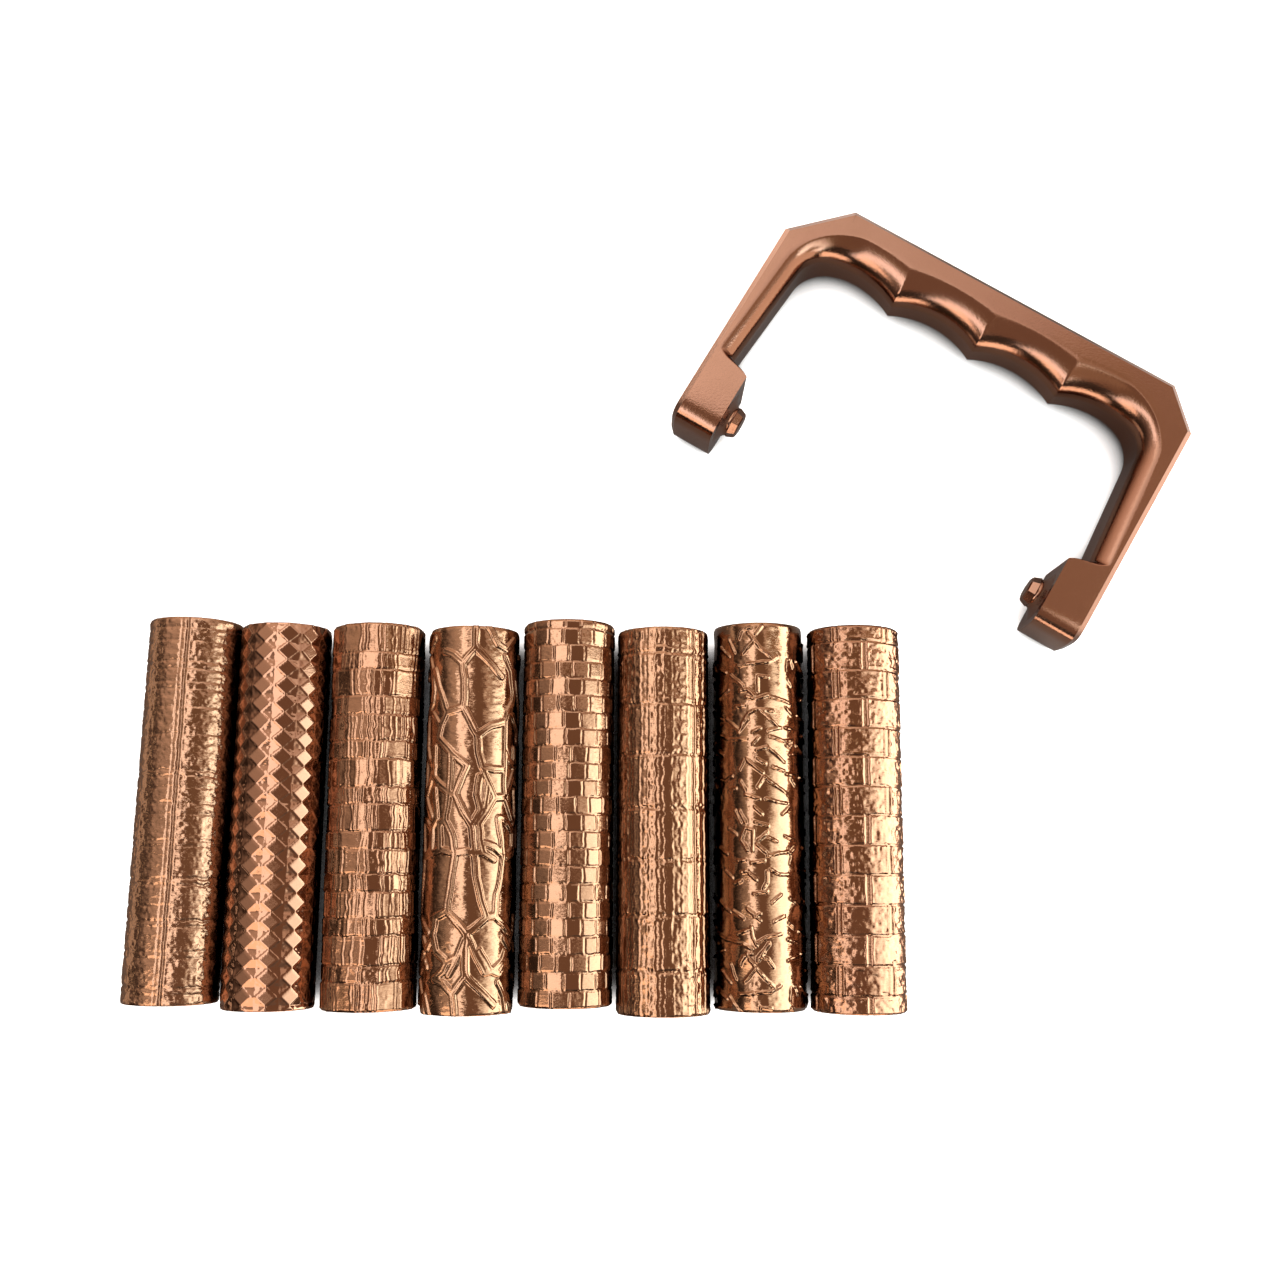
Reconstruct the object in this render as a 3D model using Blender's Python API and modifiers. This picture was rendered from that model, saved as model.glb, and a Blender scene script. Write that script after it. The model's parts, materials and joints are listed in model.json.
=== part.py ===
"""Clay texture roller set: one U-shaped handle and eight patterned rollers that snap into it.

The set lies on a table as it is stored: the handle flat on its side, the rollers in a row beside it.
Metres, +Z up, the table at Z = 0, and the origin under the middle of the whole set.
"""
import math
import random

import bmesh
import bpy
from mathutils import Matrix, Vector

# Rollers
ROLLER_LENGTH = 0.0995
ROLLER_RADIUS = 0.01245
ROUGH_PLANK_RADIUS = 0.01225
DIAMOND_KNURL_RADIUS = 0.0121
ROLLER_GAP = 0.0006
RELIEF_DEPTH = 0.0006
JOINT_WIDTH = 0.0009
VALLEY_DEPTH = 0.0003
ROLLER_PITCH = 2 * ROLLER_RADIUS + ROLLER_GAP

# Pivot nubs of the handle, and the bore that turns on them
PIVOT_FLARE_RADIUS = 0.0077
PIVOT_NECK_RADIUS = 0.0043
PIVOT_FLARE_LENGTH = 0.0021
PIVOT_HEAD_RADIUS = 0.0044
PIVOT_TIP_RADIUS = 0.0033
PIVOT_HEAD_LENGTH = 0.0025
PIVOT_CLEARANCE = 0.0004
PIVOT_HEAD_SIDES = 8
BORE_RADIUS = PIVOT_HEAD_RADIUS + PIVOT_CLEARANCE
COUNTERSINK_RADIUS = PIVOT_FLARE_RADIUS + PIVOT_CLEARANCE
COUNTERSINK_DEPTH = PIVOT_FLARE_LENGTH

# Handle
ROLLER_END_CLEARANCE = 0.0004
HANDLE_THICKNESS = 0.020
HANDLE_WIDTH = 0.1262
LEFT_CORNER_CUT = 0.0147
RIGHT_CORNER_CUT = 0.0102
PIVOT_DEPTH = 0.0692
LEG_TOP_WIDTH = 0.0095
LEG_LOW_WIDTH = 0.0070
GROOVE_COUNT = 4
GROOVE_SIDE_MARGIN = 0.0012
GROOVE_PITCH = (HANDLE_WIDTH - 2 * LEG_TOP_WIDTH - 2 * GROOVE_SIDE_MARGIN) / GROOVE_COUNT
GROOVE_RADIUS_SHARE = 0.9924
GROOVE_RADIUS = GROOVE_PITCH * GROOVE_RADIUS_SHARE
PEAK_DEPTH = 0.0171
CORNER_RADIUS = 0.0100
LEG_TOP_DEPTH = 0.0220
LEG_LOW_DEPTH = 0.0555
PAD_TOP_DEPTH = 0.0593
FINGER_ROUND = 0.0043
OUTER_CHAMFER = 0.0015
PAD_GAP = ROLLER_LENGTH + 2 * ROLLER_END_CLEARANCE
CUT_OVERRUN = 0.002

# Places on the table
ROW_TO_HANDLE_ACROSS = 0.1351
ROW_TO_HANDLE_ALONG = 0.1448
HANDLE_TURN = math.radians(-30.9)

# Steps of the round shapes
ARC_STEP = math.radians(6)
ROUND_END_SIDES = 36
BORE_STEPS = 20

# Points closer than this are one point
MERGE_DISTANCE = 0.00001

# Where each roller lies, from left to right: its place across the row as a share of the pitch,
# how far it has slid along its axis and how far its far end leans right as shares of its length
ROW_SHARES = (
    (-3.496, 0.0147, 0.0120),
    (-2.518, 0.0005, 0.0040),
    (-1.510, -0.0009, -0.0050),
    (-0.502, -0.0096, 0.0030),
    (0.502, 0.0080, 0.0030),
    (1.498, -0.0125, 0.0030),
    (2.498, -0.0011, 0.0080),
    (3.502, -0.0074, 0.0120),
)

COPPER = (0.56, 0.27, 0.15)
DARK_COPPER = (0.44, 0.20, 0.11)


def clear_scene():
    """Remove every object that the scene starts with."""
    for thing in list(bpy.data.objects):
        bpy.data.objects.remove(thing, do_unlink=True)


def collection(name):
    """A new collection in the scene."""
    group = bpy.data.collections.new(name)
    bpy.context.scene.collection.children.link(group)
    return group


def filament(name, colour, roughness):
    """Printed plastic with a metallic sheen."""
    material = bpy.data.materials.new(name)
    material.use_nodes = True
    shader = material.node_tree.nodes["Principled BSDF"]
    shader.inputs["Base Color"].default_value = (*colour, 1.0)
    shader.inputs["Roughness"].default_value = roughness
    shader.inputs["Metallic"].default_value = 0.8
    return material


def as_object(name, mesh, group):
    """Put a mesh in the scene as an object of that name."""
    thing = bpy.data.objects.new(name, mesh)
    group.objects.link(thing)
    return thing


def from_bmesh(name, shape, group):
    """Turn a bmesh into an object and free it."""
    mesh = bpy.data.meshes.new(name)
    shape.to_mesh(mesh)
    shape.free()
    return as_object(name, mesh, group)


def baked(thing):
    """Replace an object's mesh by its evaluated one, so that later steps see the modifiers' result."""
    graph = bpy.context.evaluated_depsgraph_get()
    mesh = bpy.data.meshes.new_from_object(thing.evaluated_get(graph))
    thing.modifiers.clear()
    thing.data = mesh
    return thing


def boolean(thing, other, operation):
    """Join, cut or intersect with another object by the exact solver."""
    step = thing.modifiers.new(operation.lower(), "BOOLEAN")
    step.operation = operation
    step.solver = "EXACT"
    step.object = other
    return baked(thing)


def hide_guide(thing):
    """A cutter shows as wire and is left out of renders."""
    thing.hide_render = True
    thing.display_type = "WIRE"


def smooth(thing, angle):
    """Shade round faces smooth and keep edges sharper than the angle."""
    thing.data.shade_smooth()
    thing.data.set_sharp_from_angle(angle=angle)


def turned(name, profile, steps, group):
    """A solid turned about its own Z axis from points of radius and height, top to bottom."""
    mesh = bpy.data.meshes.new(name)
    points = [(radius, 0.0, height) for radius, height in profile]
    edges = [(index, index + 1) for index in range(len(points) - 1)]
    mesh.from_pydata(points, edges, [])
    thing = as_object(name, mesh, group)
    screw = thing.modifiers.new("turn", "SCREW")
    screw.axis = "Z"
    screw.steps = steps
    screw.render_steps = steps
    screw.use_merge_vertices = True
    screw.merge_threshold = MERGE_DISTANCE
    return baked(thing)


def arc(centre, radius, start, end):
    """Points along an arc, both ends included, about one for each step angle."""
    count = max(2, math.ceil(abs(end - start) / ARC_STEP))
    angles = [start + (end - start) * step / count for step in range(count + 1)]
    return [centre + Vector((math.cos(angle), math.sin(angle))) * radius for angle in angles]


def corner_centre(groove_centre, leg_point, leg_direction):
    """Centre of the round between the last groove and a leg.

    It lies one corner radius inside the leg's line, and inside the groove's circle by the same.
    """
    inward = Vector((leg_direction.y, -leg_direction.x))
    if inward.dot(groove_centre - leg_point) < 0:
        inward = -inward
    base = leg_point + inward * CORNER_RADIUS
    offset = base - groove_centre
    reach = GROOVE_RADIUS - CORNER_RADIUS
    along = offset.dot(leg_direction)
    across = offset.dot(offset) - reach * reach
    slide = -along + math.sqrt(along * along - across)
    return base + leg_direction * slide


def half_inner_outline():
    """The finger side from the middle peak to the right pad's corner: X across, Y up the grip."""
    half_pitch = GROOVE_PITCH / 2
    sweep = math.asin(half_pitch / GROOVE_RADIUS)
    centre_y = -PEAK_DEPTH - GROOVE_RADIUS * math.cos(sweep)
    up = math.pi / 2
    first = Vector((half_pitch, centre_y))
    last = Vector((GROOVE_PITCH + half_pitch, centre_y))
    half_width = HANDLE_WIDTH / 2
    leg_top = Vector((half_width - LEG_TOP_WIDTH, -LEG_TOP_DEPTH))
    leg_low = Vector((half_width - LEG_LOW_WIDTH, -LEG_LOW_DEPTH))
    leg_up = (leg_top - leg_low).normalized()
    corner = corner_centre(last, leg_low, leg_up)
    leave = math.atan2(corner.y - last.y, corner.x - last.x)
    square = Vector((-leg_up.y, leg_up.x))
    if square.x < 0:
        square = -square
    meet = math.atan2(square.y, square.x)
    points = arc(first, GROOVE_RADIUS, up + sweep, up - sweep)
    points += arc(last, GROOVE_RADIUS, up + sweep, leave)[1:]
    points += arc(corner, CORNER_RADIUS, leave, meet)[1:]
    points += [leg_low, Vector((PAD_GAP / 2, -PAD_TOP_DEPTH))]
    return points


def handle_outline():
    """Closed outline in plan: the finger side from left pad to right pad, then round the outside."""
    right = half_inner_outline()
    left = [Vector((-point.x, point.y)) for point in reversed(right)]
    inner = left + right[1:]
    half_width = HANDLE_WIDTH / 2
    end = -PIVOT_DEPTH - HANDLE_THICKNESS / 2 - CUT_OVERRUN
    outer = [
        Vector((half_width, end)),
        Vector((half_width, -RIGHT_CORNER_CUT)),
        Vector((half_width - RIGHT_CORNER_CUT, 0.0)),
        Vector((LEFT_CORNER_CUT - half_width, 0.0)),
        Vector((-half_width, -LEFT_CORNER_CUT)),
        Vector((-half_width, end)),
    ]
    pads = [Vector((PAD_GAP / 2, end)), Vector((-PAD_GAP / 2, end))]
    return inner, [*inner, pads[0], *outer, pads[1]]


def extruded(name, outline, depth, group):
    """A flat outline as a 2D curve, thickened both ways and made a closed mesh."""
    data = bpy.data.curves.new(name, "CURVE")
    data.dimensions = "2D"
    data.fill_mode = "BOTH"
    data.extrude = depth / 2
    spline = data.splines.new("POLY")
    spline.points.add(len(outline) - 1)
    for point, place in zip(spline.points, outline):
        point.co = (place[0], place[1], 0.0, 1.0)
    spline.use_cyclic_u = True
    source = as_object(name + "_outline", data, group)
    graph = bpy.context.evaluated_depsgraph_get()
    mesh = bpy.data.meshes.new_from_object(source.evaluated_get(graph))
    bpy.data.objects.remove(source, do_unlink=True)
    shape = bmesh.new()
    shape.from_mesh(mesh)
    bmesh.ops.remove_doubles(shape, verts=shape.verts, dist=MERGE_DISTANCE)
    bmesh.ops.dissolve_limit(shape, angle_limit=math.radians(0.1), verts=shape.verts, edges=shape.edges)
    bmesh.ops.recalc_face_normals(shape, faces=shape.faces)
    return from_bmesh(name, shape, group)


def side_prism(group):
    """The handle seen from its side: flat faces a thickness apart, and legs with full-round ends."""
    half = HANDLE_THICKNESS / 2
    pivot = Vector((-PIVOT_DEPTH, 0.0))
    sides = ROUND_END_SIDES // 2
    outline = [Vector((CUT_OVERRUN, half))]
    for step in range(sides + 1):
        angle = math.pi / 2 + math.pi * step / sides
        outline.append(pivot + Vector((math.cos(angle), math.sin(angle))) * half)
    outline.append(Vector((CUT_OVERRUN, -half)))
    prism = extruded("side_prism", outline, HANDLE_WIDTH + 2 * CUT_OVERRUN, group)
    turn = Matrix(((0, 0, 1, 0), (1, 0, 0, 0), (0, 1, 0, 0), (0, 0, 0, 1)))
    prism.data.transform(turn)
    return prism


def on_path(place, path):
    """True where a point in plan lies on a polyline."""
    for start, end in zip(path, path[1:]):
        run = end - start
        share = max(0.0, min(1.0, (place - start).dot(run) / run.length_squared))
        if (start + run * share - place).length < MERGE_DISTANCE:
            return True
    return False


def rim_edges(shape, path):
    """Edges between a wall that stands on the path and the flat or rounded faces beside it."""
    chosen = []
    for edge in shape.edges:
        upright = [abs(face.normal.z) < 0.001 for face in edge.link_faces]
        ends = [Vector(corner.co.xy) for corner in edge.verts]
        level = (ends[0] - ends[1]).length > MERGE_DISTANCE
        on_wall = all(on_path(end, path) for end in ends)
        if on_wall and level and not all(upright):
            chosen.append(edge)
    return chosen


def bevelled(thing, path, width, segments):
    """Round or chamfer the upper and lower rims of the walls along a path."""
    shape = bmesh.new()
    shape.from_mesh(thing.data)
    edges = rim_edges(shape, path)
    bmesh.ops.bevel(shape, geom=edges, offset=width, segments=segments, profile=0.5,
                    affect="EDGES", clamp_overlap=False)
    shape.to_mesh(thing.data)
    shape.free()


def pivot_nub(name, side, group, cutters):
    """A flared root and a faceted snap head on the inner face of one pad."""
    neck_height = PIVOT_FLARE_LENGTH
    tip_height = PIVOT_FLARE_LENGTH + PIVOT_HEAD_LENGTH
    chamfer = PIVOT_HEAD_RADIUS - PIVOT_TIP_RADIUS
    mid_radius = (PIVOT_FLARE_RADIUS + 2 * PIVOT_NECK_RADIUS) / 3
    flare = turned(name + "_flare", [
        (0.0, neck_height),
        (PIVOT_NECK_RADIUS, neck_height),
        (mid_radius, neck_height / 2),
        (PIVOT_FLARE_RADIUS, 0.0),
        (PIVOT_FLARE_RADIUS, -CUT_OVERRUN),
        (0.0, -CUT_OVERRUN),
    ], 24, cutters)
    head = turned(name + "_head", [
        (0.0, tip_height),
        (PIVOT_TIP_RADIUS - chamfer / 2, tip_height),
        (PIVOT_TIP_RADIUS, tip_height - chamfer / 2),
        (PIVOT_HEAD_RADIUS, neck_height),
        (PIVOT_HEAD_RADIUS, neck_height - CUT_OVERRUN / 4),
        (0.0, neck_height - CUT_OVERRUN / 4),
    ], PIVOT_HEAD_SIDES, cutters)
    boolean(flare, head, "UNION")
    bpy.data.objects.remove(head, do_unlink=True)
    inward = Matrix.Rotation(-side * math.pi / 2, 4, "Y")
    place = Matrix.Translation((side * PAD_GAP / 2, -PIVOT_DEPTH, 0.0))
    flare.data.transform(place @ inward)
    hide_guide(flare)
    return flare


def make_handle(group, cutters):
    """The U-shaped handle: grip with finger grooves, two legs, and pads with pivot nubs."""
    inner, outline = handle_outline()
    handle = extruded("handle", outline, HANDLE_THICKNESS + 2 * CUT_OVERRUN, group)
    side = side_prism(cutters)
    hide_guide(side)
    boolean(handle, side, "INTERSECT")
    bpy.data.objects.remove(side, do_unlink=True)
    outer = outline[len(inner) + 1:-1]
    bevelled(handle, inner, FINGER_ROUND, 4)
    bevelled(handle, outer, OUTER_CHAMFER, 1)
    for name, direction in (("left_nub", -1), ("right_nub", 1)):
        nub = pivot_nub(name, direction, group, cutters)
        boolean(handle, nub, "UNION")
        bpy.data.objects.remove(nub, do_unlink=True)
    smooth(handle, math.radians(40))
    handle.data.materials.clear()
    handle.data.materials.append(filament("silk_copper_handle", COPPER, 0.35))
    return handle


def bore_cutter(cutters):
    """The space inside a roller: a through bore with a countersink at each end."""
    half = ROLLER_LENGTH / 2
    flare = (COUNTERSINK_RADIUS - BORE_RADIUS) / COUNTERSINK_DEPTH
    mouth = COUNTERSINK_RADIUS + flare * CUT_OVERRUN
    cutter = turned("bore_cutter", [
        (0.0, half + CUT_OVERRUN),
        (mouth, half + CUT_OVERRUN),
        (BORE_RADIUS, half - COUNTERSINK_DEPTH),
        (BORE_RADIUS, COUNTERSINK_DEPTH - half),
        (mouth, -half - CUT_OVERRUN),
        (0.0, -half - CUT_OVERRUN),
    ], BORE_STEPS, cutters)
    hide_guide(cutter)
    return cutter


def on_roller(angle, along, radius):
    """A point at an angle round a roller and a distance along its axis."""
    return Vector((radius * math.cos(angle), radius * math.sin(angle), along))


def ticks_between(line, start, end, turn):
    """The ticks of a ring line from start to end, going round and counting past a full turn."""
    reach = end - start
    found = sorted((tick - start) % turn for tick in line)
    return [(start + step) % turn for step in found if step < reach] + [end % turn]


def course_rod(edges, joints, turn, place):
    """A rod skinned with cells in courses, as bricks are laid round a chimney.

    edges are the heights of the ring lines; joints gives each course's upright joints as whole
    ticks of a turn; place turns a ring line and a tick into a point. Neighbouring courses share
    the points of the ring line between them, so the skin is closed however the joints stagger.
    """
    shape = bmesh.new()
    lines = []
    for level in range(len(edges)):
        below = joints[max(level - 1, 0)]
        above = joints[min(level, len(joints) - 1)]
        ticks = sorted(set(below) | set(above))
        lines.append({tick: shape.verts.new(place(level, tick)) for tick in ticks})
    cells = []
    for level, course in enumerate(joints):
        for start, end in zip(course, [*course[1:], course[0] + turn]):
            low = [lines[level][tick] for tick in ticks_between(lines[level], start, end, turn)]
            high = [lines[level + 1][tick] for tick in ticks_between(lines[level + 1], start, end, turn)]
            cells.append(shape.faces.new([*low, *reversed(high)]))
    shape.faces.new([lines[0][tick] for tick in sorted(lines[0], reverse=True)])
    shape.faces.new([lines[-1][tick] for tick in sorted(lines[-1])])
    shape.normal_update()
    return shape, cells


def even_edges(count):
    """Heights of ring lines that divide a roller evenly."""
    return [ROLLER_LENGTH * (level / count - 1 / 2) for level in range(count + 1)]


def raised(shape, cells, width, depth):
    """Inset every cell and lift it, which leaves a joint of the given width between cells."""
    bmesh.ops.inset_individual(shape, faces=cells, thickness=width / 2, depth=depth, use_even_offset=True)


def studs(shape, cells, height):
    """Raise every cell to a point over its middle."""
    bmesh.ops.poke(shape, faces=cells, offset=height, center_mode="MEAN")


def finish_roller(name, shape, group, cutter, tone, roughness):
    """Cut the bore, shade the piece and give it its material."""
    roller = from_bmesh(name, shape, group)
    boolean(roller, cutter, "DIFFERENCE")
    smooth(roller, math.radians(20))
    roller.data.materials.clear()
    roller.data.materials.append(filament("silk_copper_" + name, tone, roughness))
    return roller


def rough_plank_roller(radius):
    """Rings of uneven width with a rough face, and one upright seam."""
    dice = random.Random(11)
    courses = 12
    sides = 14
    turn = sides
    edges = even_edges(courses)
    jitter = ROLLER_LENGTH / courses / 6
    heights = [edge + dice.uniform(-jitter, jitter) * (0 < level < courses) for level, edge in enumerate(edges)]
    joints = [list(range(sides)) for _ in range(courses)]

    def place(level, tick):
        return on_roller(tick * math.tau / turn, heights[level], radius - RELIEF_DEPTH)

    shape, cells = course_rod(heights, joints, turn, place)
    raised(shape, cells, JOINT_WIDTH, RELIEF_DEPTH)
    return shape


def diamond_knurl_roller(radius):
    """Staggered pyramids in twelve columns, with a valley between the columns."""
    columns = 12
    rows = 22
    turn = 2 * columns
    edges = even_edges(2 * rows)
    floor = radius - RELIEF_DEPTH
    shape = bmesh.new()
    lines = []
    for level, height in enumerate(edges):
        inner = level in (0, len(edges) - 1)
        ticks = range(turn) if inner else range(level % 2, turn, 2)
        ring = {}
        for tick in ticks:
            depth = VALLEY_DEPTH * (tick % 2)
            ring[tick] = shape.verts.new(on_roller(tick * math.tau / turn, height, floor - depth))
        lines.append(ring)
    diamonds = []
    last = len(edges) - 1
    for level in range(1, last):
        for tick in lines[level]:
            left = lines[level][tick]
            right = lines[level][(tick + 2) % turn]
            top = lines[level + 1][(tick + 1) % turn]
            low = lines[level - 1][(tick + 1) % turn]
            if tick % 2 == 1:
                diamonds.append(shape.faces.new([left, low, right, top]))
            else:
                shape.faces.new([left, low, top])
                shape.faces.new([low, right, top])
    for level, inner in ((0, 1), (last, last - 1)):
        for tick in lines[inner]:
            ends = [lines[level][(tick + step) % turn] for step in (-1, 0, 1)]
            middle = lines[inner][tick]
            triangles = [[ends[0], ends[1], middle], [ends[1], ends[2], middle]]
            for corners in triangles:
                shape.faces.new(corners if level == 0 else list(reversed(corners)))
    shape.faces.new([lines[0][tick] for tick in sorted(lines[0], reverse=True)])
    shape.faces.new([lines[last][tick] for tick in sorted(lines[last])])
    shape.normal_update()
    studs(shape, diamonds, RELIEF_DEPTH)
    return shape


def ashlar_roller(radius):
    """Courses of tall and low blocks in turn, with uneven upright joints."""
    dice = random.Random(23)
    pairs = 8
    blocks = 8
    turn = 2 * blocks
    low_share = 0.39
    edges = [-ROLLER_LENGTH / 2]
    pair_height = ROLLER_LENGTH / pairs
    for _ in range(pairs):
        edges.append(edges[-1] + pair_height * (1 - low_share))
        edges.append(edges[-1] + pair_height * low_share)
    joints = []
    for level in range(2 * pairs):
        joints.append(sorted((2 * block + level % 2) % turn for block in range(blocks)))
    swing = [[dice.uniform(-0.3, 0.3) for _ in range(turn)] for _ in edges]

    def place(level, tick):
        return on_roller((tick + swing[level][tick]) * math.tau / turn, edges[level], radius - RELIEF_DEPTH)

    shape, cells = course_rod(edges, joints, turn, place)
    raised(shape, cells, JOINT_WIDTH, RELIEF_DEPTH)
    return shape


def cracked_stone_roller(radius):
    """Long uneven six-sided stones outlined by raised cracks."""
    dice = random.Random(37)
    rows = 9
    stones = 9
    turn = 2 * stones
    edges = even_edges(rows)
    zigzag = ROLLER_LENGTH / rows / 5
    joints = [[(2 * stone + level % 2) % turn for stone in range(stones)] for level in range(rows)]
    joints = [sorted(course) for course in joints]
    swing = [[dice.uniform(-0.35, 0.35) for _ in range(turn)] for _ in edges]
    shift = [[dice.uniform(-0.5, 1.3) for _ in range(turn)] for _ in edges]

    def place(level, tick):
        angle = (tick + swing[level][tick]) * math.tau / turn
        ahead = 1 if (tick + level) % 2 else -1
        inside = 0 < level < rows
        height = edges[level] + inside * zigzag * ahead * shift[level][tick]
        return on_roller(angle, height, radius)

    shape, cells = course_rod(edges, joints, turn, place)
    raised(shape, cells, JOINT_WIDTH, -RELIEF_DEPTH)
    return shape


def small_tile_roller(radius):
    """Small square tiles, each course staggered by half a tile."""
    rows = 23
    tiles = 16
    turn = 2 * tiles
    edges = even_edges(rows)
    joints = [sorted((2 * tile + level % 2) % turn for tile in range(tiles)) for level in range(rows)]

    def place(level, tick):
        return on_roller(tick * math.tau / turn, edges[level], radius - RELIEF_DEPTH)

    shape, cells = course_rod(edges, joints, turn, place)
    studs(shape, cells, RELIEF_DEPTH)
    return shape


def wood_strip_roller(radius):
    """Long upright strips of uneven width in eight courses."""
    dice = random.Random(53)
    rows = 8
    strips = 15
    edges = even_edges(rows)
    joints = [list(range(strips)) for _ in range(rows)]
    widths = [dice.uniform(-0.25, 0.25) for _ in range(strips)]
    swing = [[dice.uniform(-0.1, 0.1) for _ in range(strips)] for _ in edges]

    def place(level, tick):
        angle = (tick + widths[tick] + swing[level][tick]) * math.tau / strips
        return on_roller(angle, edges[level], radius - RELIEF_DEPTH)

    shape, cells = course_rod(edges, joints, strips, place)
    raised(shape, cells, JOINT_WIDTH, RELIEF_DEPTH)
    return shape


def straw_roller(radius):
    """Crossing raised straws: a loose net of triangles with sunk faces."""
    dice = random.Random(71)
    rows = 8
    columns = 9
    turn = 2 * columns
    edges = even_edges(rows)
    joints = [list(range(level % 2, turn, 2)) for level in range(rows + 1)]
    swing = [[dice.uniform(-0.6, 0.6) for _ in range(turn)] for _ in edges]
    lift = [[dice.uniform(-0.3, 0.3) * ROLLER_LENGTH / rows for _ in range(turn)] for _ in edges]
    shape = bmesh.new()
    lines = []
    for level, ticks in enumerate(joints):
        ring = {}
        for tick in ticks:
            angle = (tick + swing[level][tick]) * math.tau / turn
            height = edges[level] + (0 < level < rows) * lift[level][tick]
            ring[tick] = shape.verts.new(on_roller(angle, height, radius))
        lines.append(ring)
    cells = []
    for level in range(rows):
        for tick in lines[level]:
            low = [lines[level][tick], lines[level][(tick + 2) % turn]]
            high = [lines[level + 1][(tick + 1) % turn], lines[level + 1][(tick + 3) % turn]]
            cells.append(shape.faces.new([low[0], low[1], high[0]]))
            cells.append(shape.faces.new([low[1], high[1], high[0]]))
    shape.faces.new([lines[0][tick] for tick in sorted(lines[0], reverse=True)])
    shape.faces.new([lines[-1][tick] for tick in sorted(lines[-1])])
    shape.normal_update()
    raised(shape, cells, JOINT_WIDTH, -RELIEF_DEPTH)
    return shape


def stone_block_roller(radius):
    """Dressed blocks in running bond."""
    dice = random.Random(83)
    rows = 13
    blocks = 9
    turn = 2 * blocks
    edges = even_edges(rows)
    joints = [sorted((2 * block + level % 2) % turn for block in range(blocks)) for level in range(rows)]
    swing = [[dice.uniform(-0.12, 0.12) for _ in range(turn)] for _ in edges]

    def place(level, tick):
        return on_roller((tick + swing[level][tick]) * math.tau / turn, edges[level], radius - RELIEF_DEPTH)

    shape, cells = course_rod(edges, joints, turn, place)
    raised(shape, cells, JOINT_WIDTH, RELIEF_DEPTH)
    return shape


ROLLERS = (
    ("roller_rough_plank", rough_plank_roller, ROUGH_PLANK_RADIUS),
    ("roller_diamond_knurl", diamond_knurl_roller, DIAMOND_KNURL_RADIUS),
    ("roller_ashlar_course", ashlar_roller, ROLLER_RADIUS),
    ("roller_cracked_stone", cracked_stone_roller, ROLLER_RADIUS),
    ("roller_small_tile", small_tile_roller, ROLLER_RADIUS),
    ("roller_wood_strip", wood_strip_roller, ROLLER_RADIUS),
    ("roller_straw", straw_roller, ROLLER_RADIUS),
    ("roller_stone_block", stone_block_roller, ROLLER_RADIUS),
)


def lay_out(handle, rollers):
    """Lay the rollers in a row and the handle above its right end, then centre the set."""
    for roller, (_, _, radius), (across, slide, lean) in zip(rollers, ROLLERS, ROW_SHARES):
        roller.rotation_euler = (-math.pi / 2, 0.0, -math.atan(lean))
        roller.location = (across * ROLLER_PITCH, slide * ROLLER_LENGTH, radius)
    handle.rotation_euler = (0.0, 0.0, HANDLE_TURN)
    handle.location = (ROW_TO_HANDLE_ACROSS, ROW_TO_HANDLE_ALONG, HANDLE_THICKNESS / 2)
    bpy.context.view_layer.update()
    corners = []
    for thing in (handle, *rollers):
        corners += [thing.matrix_world @ vertex.co for vertex in thing.data.vertices]
    for axis in (0, 1):
        values = [corner[axis] for corner in corners]
        centre = (min(values) + max(values)) / 2
        for thing in (handle, *rollers):
            thing.location[axis] -= centre
    bpy.context.view_layer.update()


def main():
    clear_scene()
    group = collection("clay_texture_roller")
    cutters = collection("cutters")
    handle = make_handle(group, cutters)
    cutter = bore_cutter(cutters)
    rollers = []
    for index, (name, make, radius) in enumerate(ROLLERS):
        tone = COPPER if index % 2 else DARK_COPPER
        rollers.append(finish_roller(name, make(radius), group, cutter, tone, 0.3))
    lay_out(handle, rollers)


main()
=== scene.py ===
"""Looks for the clay texture roller: a printed grip and eight printed rollers in copper silk plastic.

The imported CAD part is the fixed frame. Each roller gets a skin of its own pattern, worked out as a
depth below a cylinder, and the grip gets a skin worked out from its outline. Lengths inside the
pattern functions are millimetres; meshes are in metres, in the frame of the part.
"""

import json
import math

import bpy
import numpy as np
from mathutils import Euler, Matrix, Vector


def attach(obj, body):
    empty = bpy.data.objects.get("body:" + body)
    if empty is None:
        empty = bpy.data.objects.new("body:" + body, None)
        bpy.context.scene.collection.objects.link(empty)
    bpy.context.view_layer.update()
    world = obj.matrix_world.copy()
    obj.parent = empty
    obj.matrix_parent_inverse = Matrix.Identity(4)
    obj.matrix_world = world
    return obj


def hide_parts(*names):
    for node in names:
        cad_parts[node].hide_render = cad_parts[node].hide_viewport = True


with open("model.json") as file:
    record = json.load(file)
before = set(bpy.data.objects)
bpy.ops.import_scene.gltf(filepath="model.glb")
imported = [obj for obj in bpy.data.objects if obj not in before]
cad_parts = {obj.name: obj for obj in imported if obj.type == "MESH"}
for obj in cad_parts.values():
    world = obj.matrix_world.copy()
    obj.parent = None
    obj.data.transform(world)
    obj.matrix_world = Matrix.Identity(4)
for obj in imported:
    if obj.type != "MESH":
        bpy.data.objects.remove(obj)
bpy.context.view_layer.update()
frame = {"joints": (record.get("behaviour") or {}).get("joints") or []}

MM = 0.001
TURN = 2 * math.pi

# Camera, fitted to the rollers' ends and the grip's corners in the photograph
CAMERA_PLACE = (-8.966, -75.313, 357.9)
CAMERA_TILT = 10.34
CAMERA_LENS = 36.28

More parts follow.
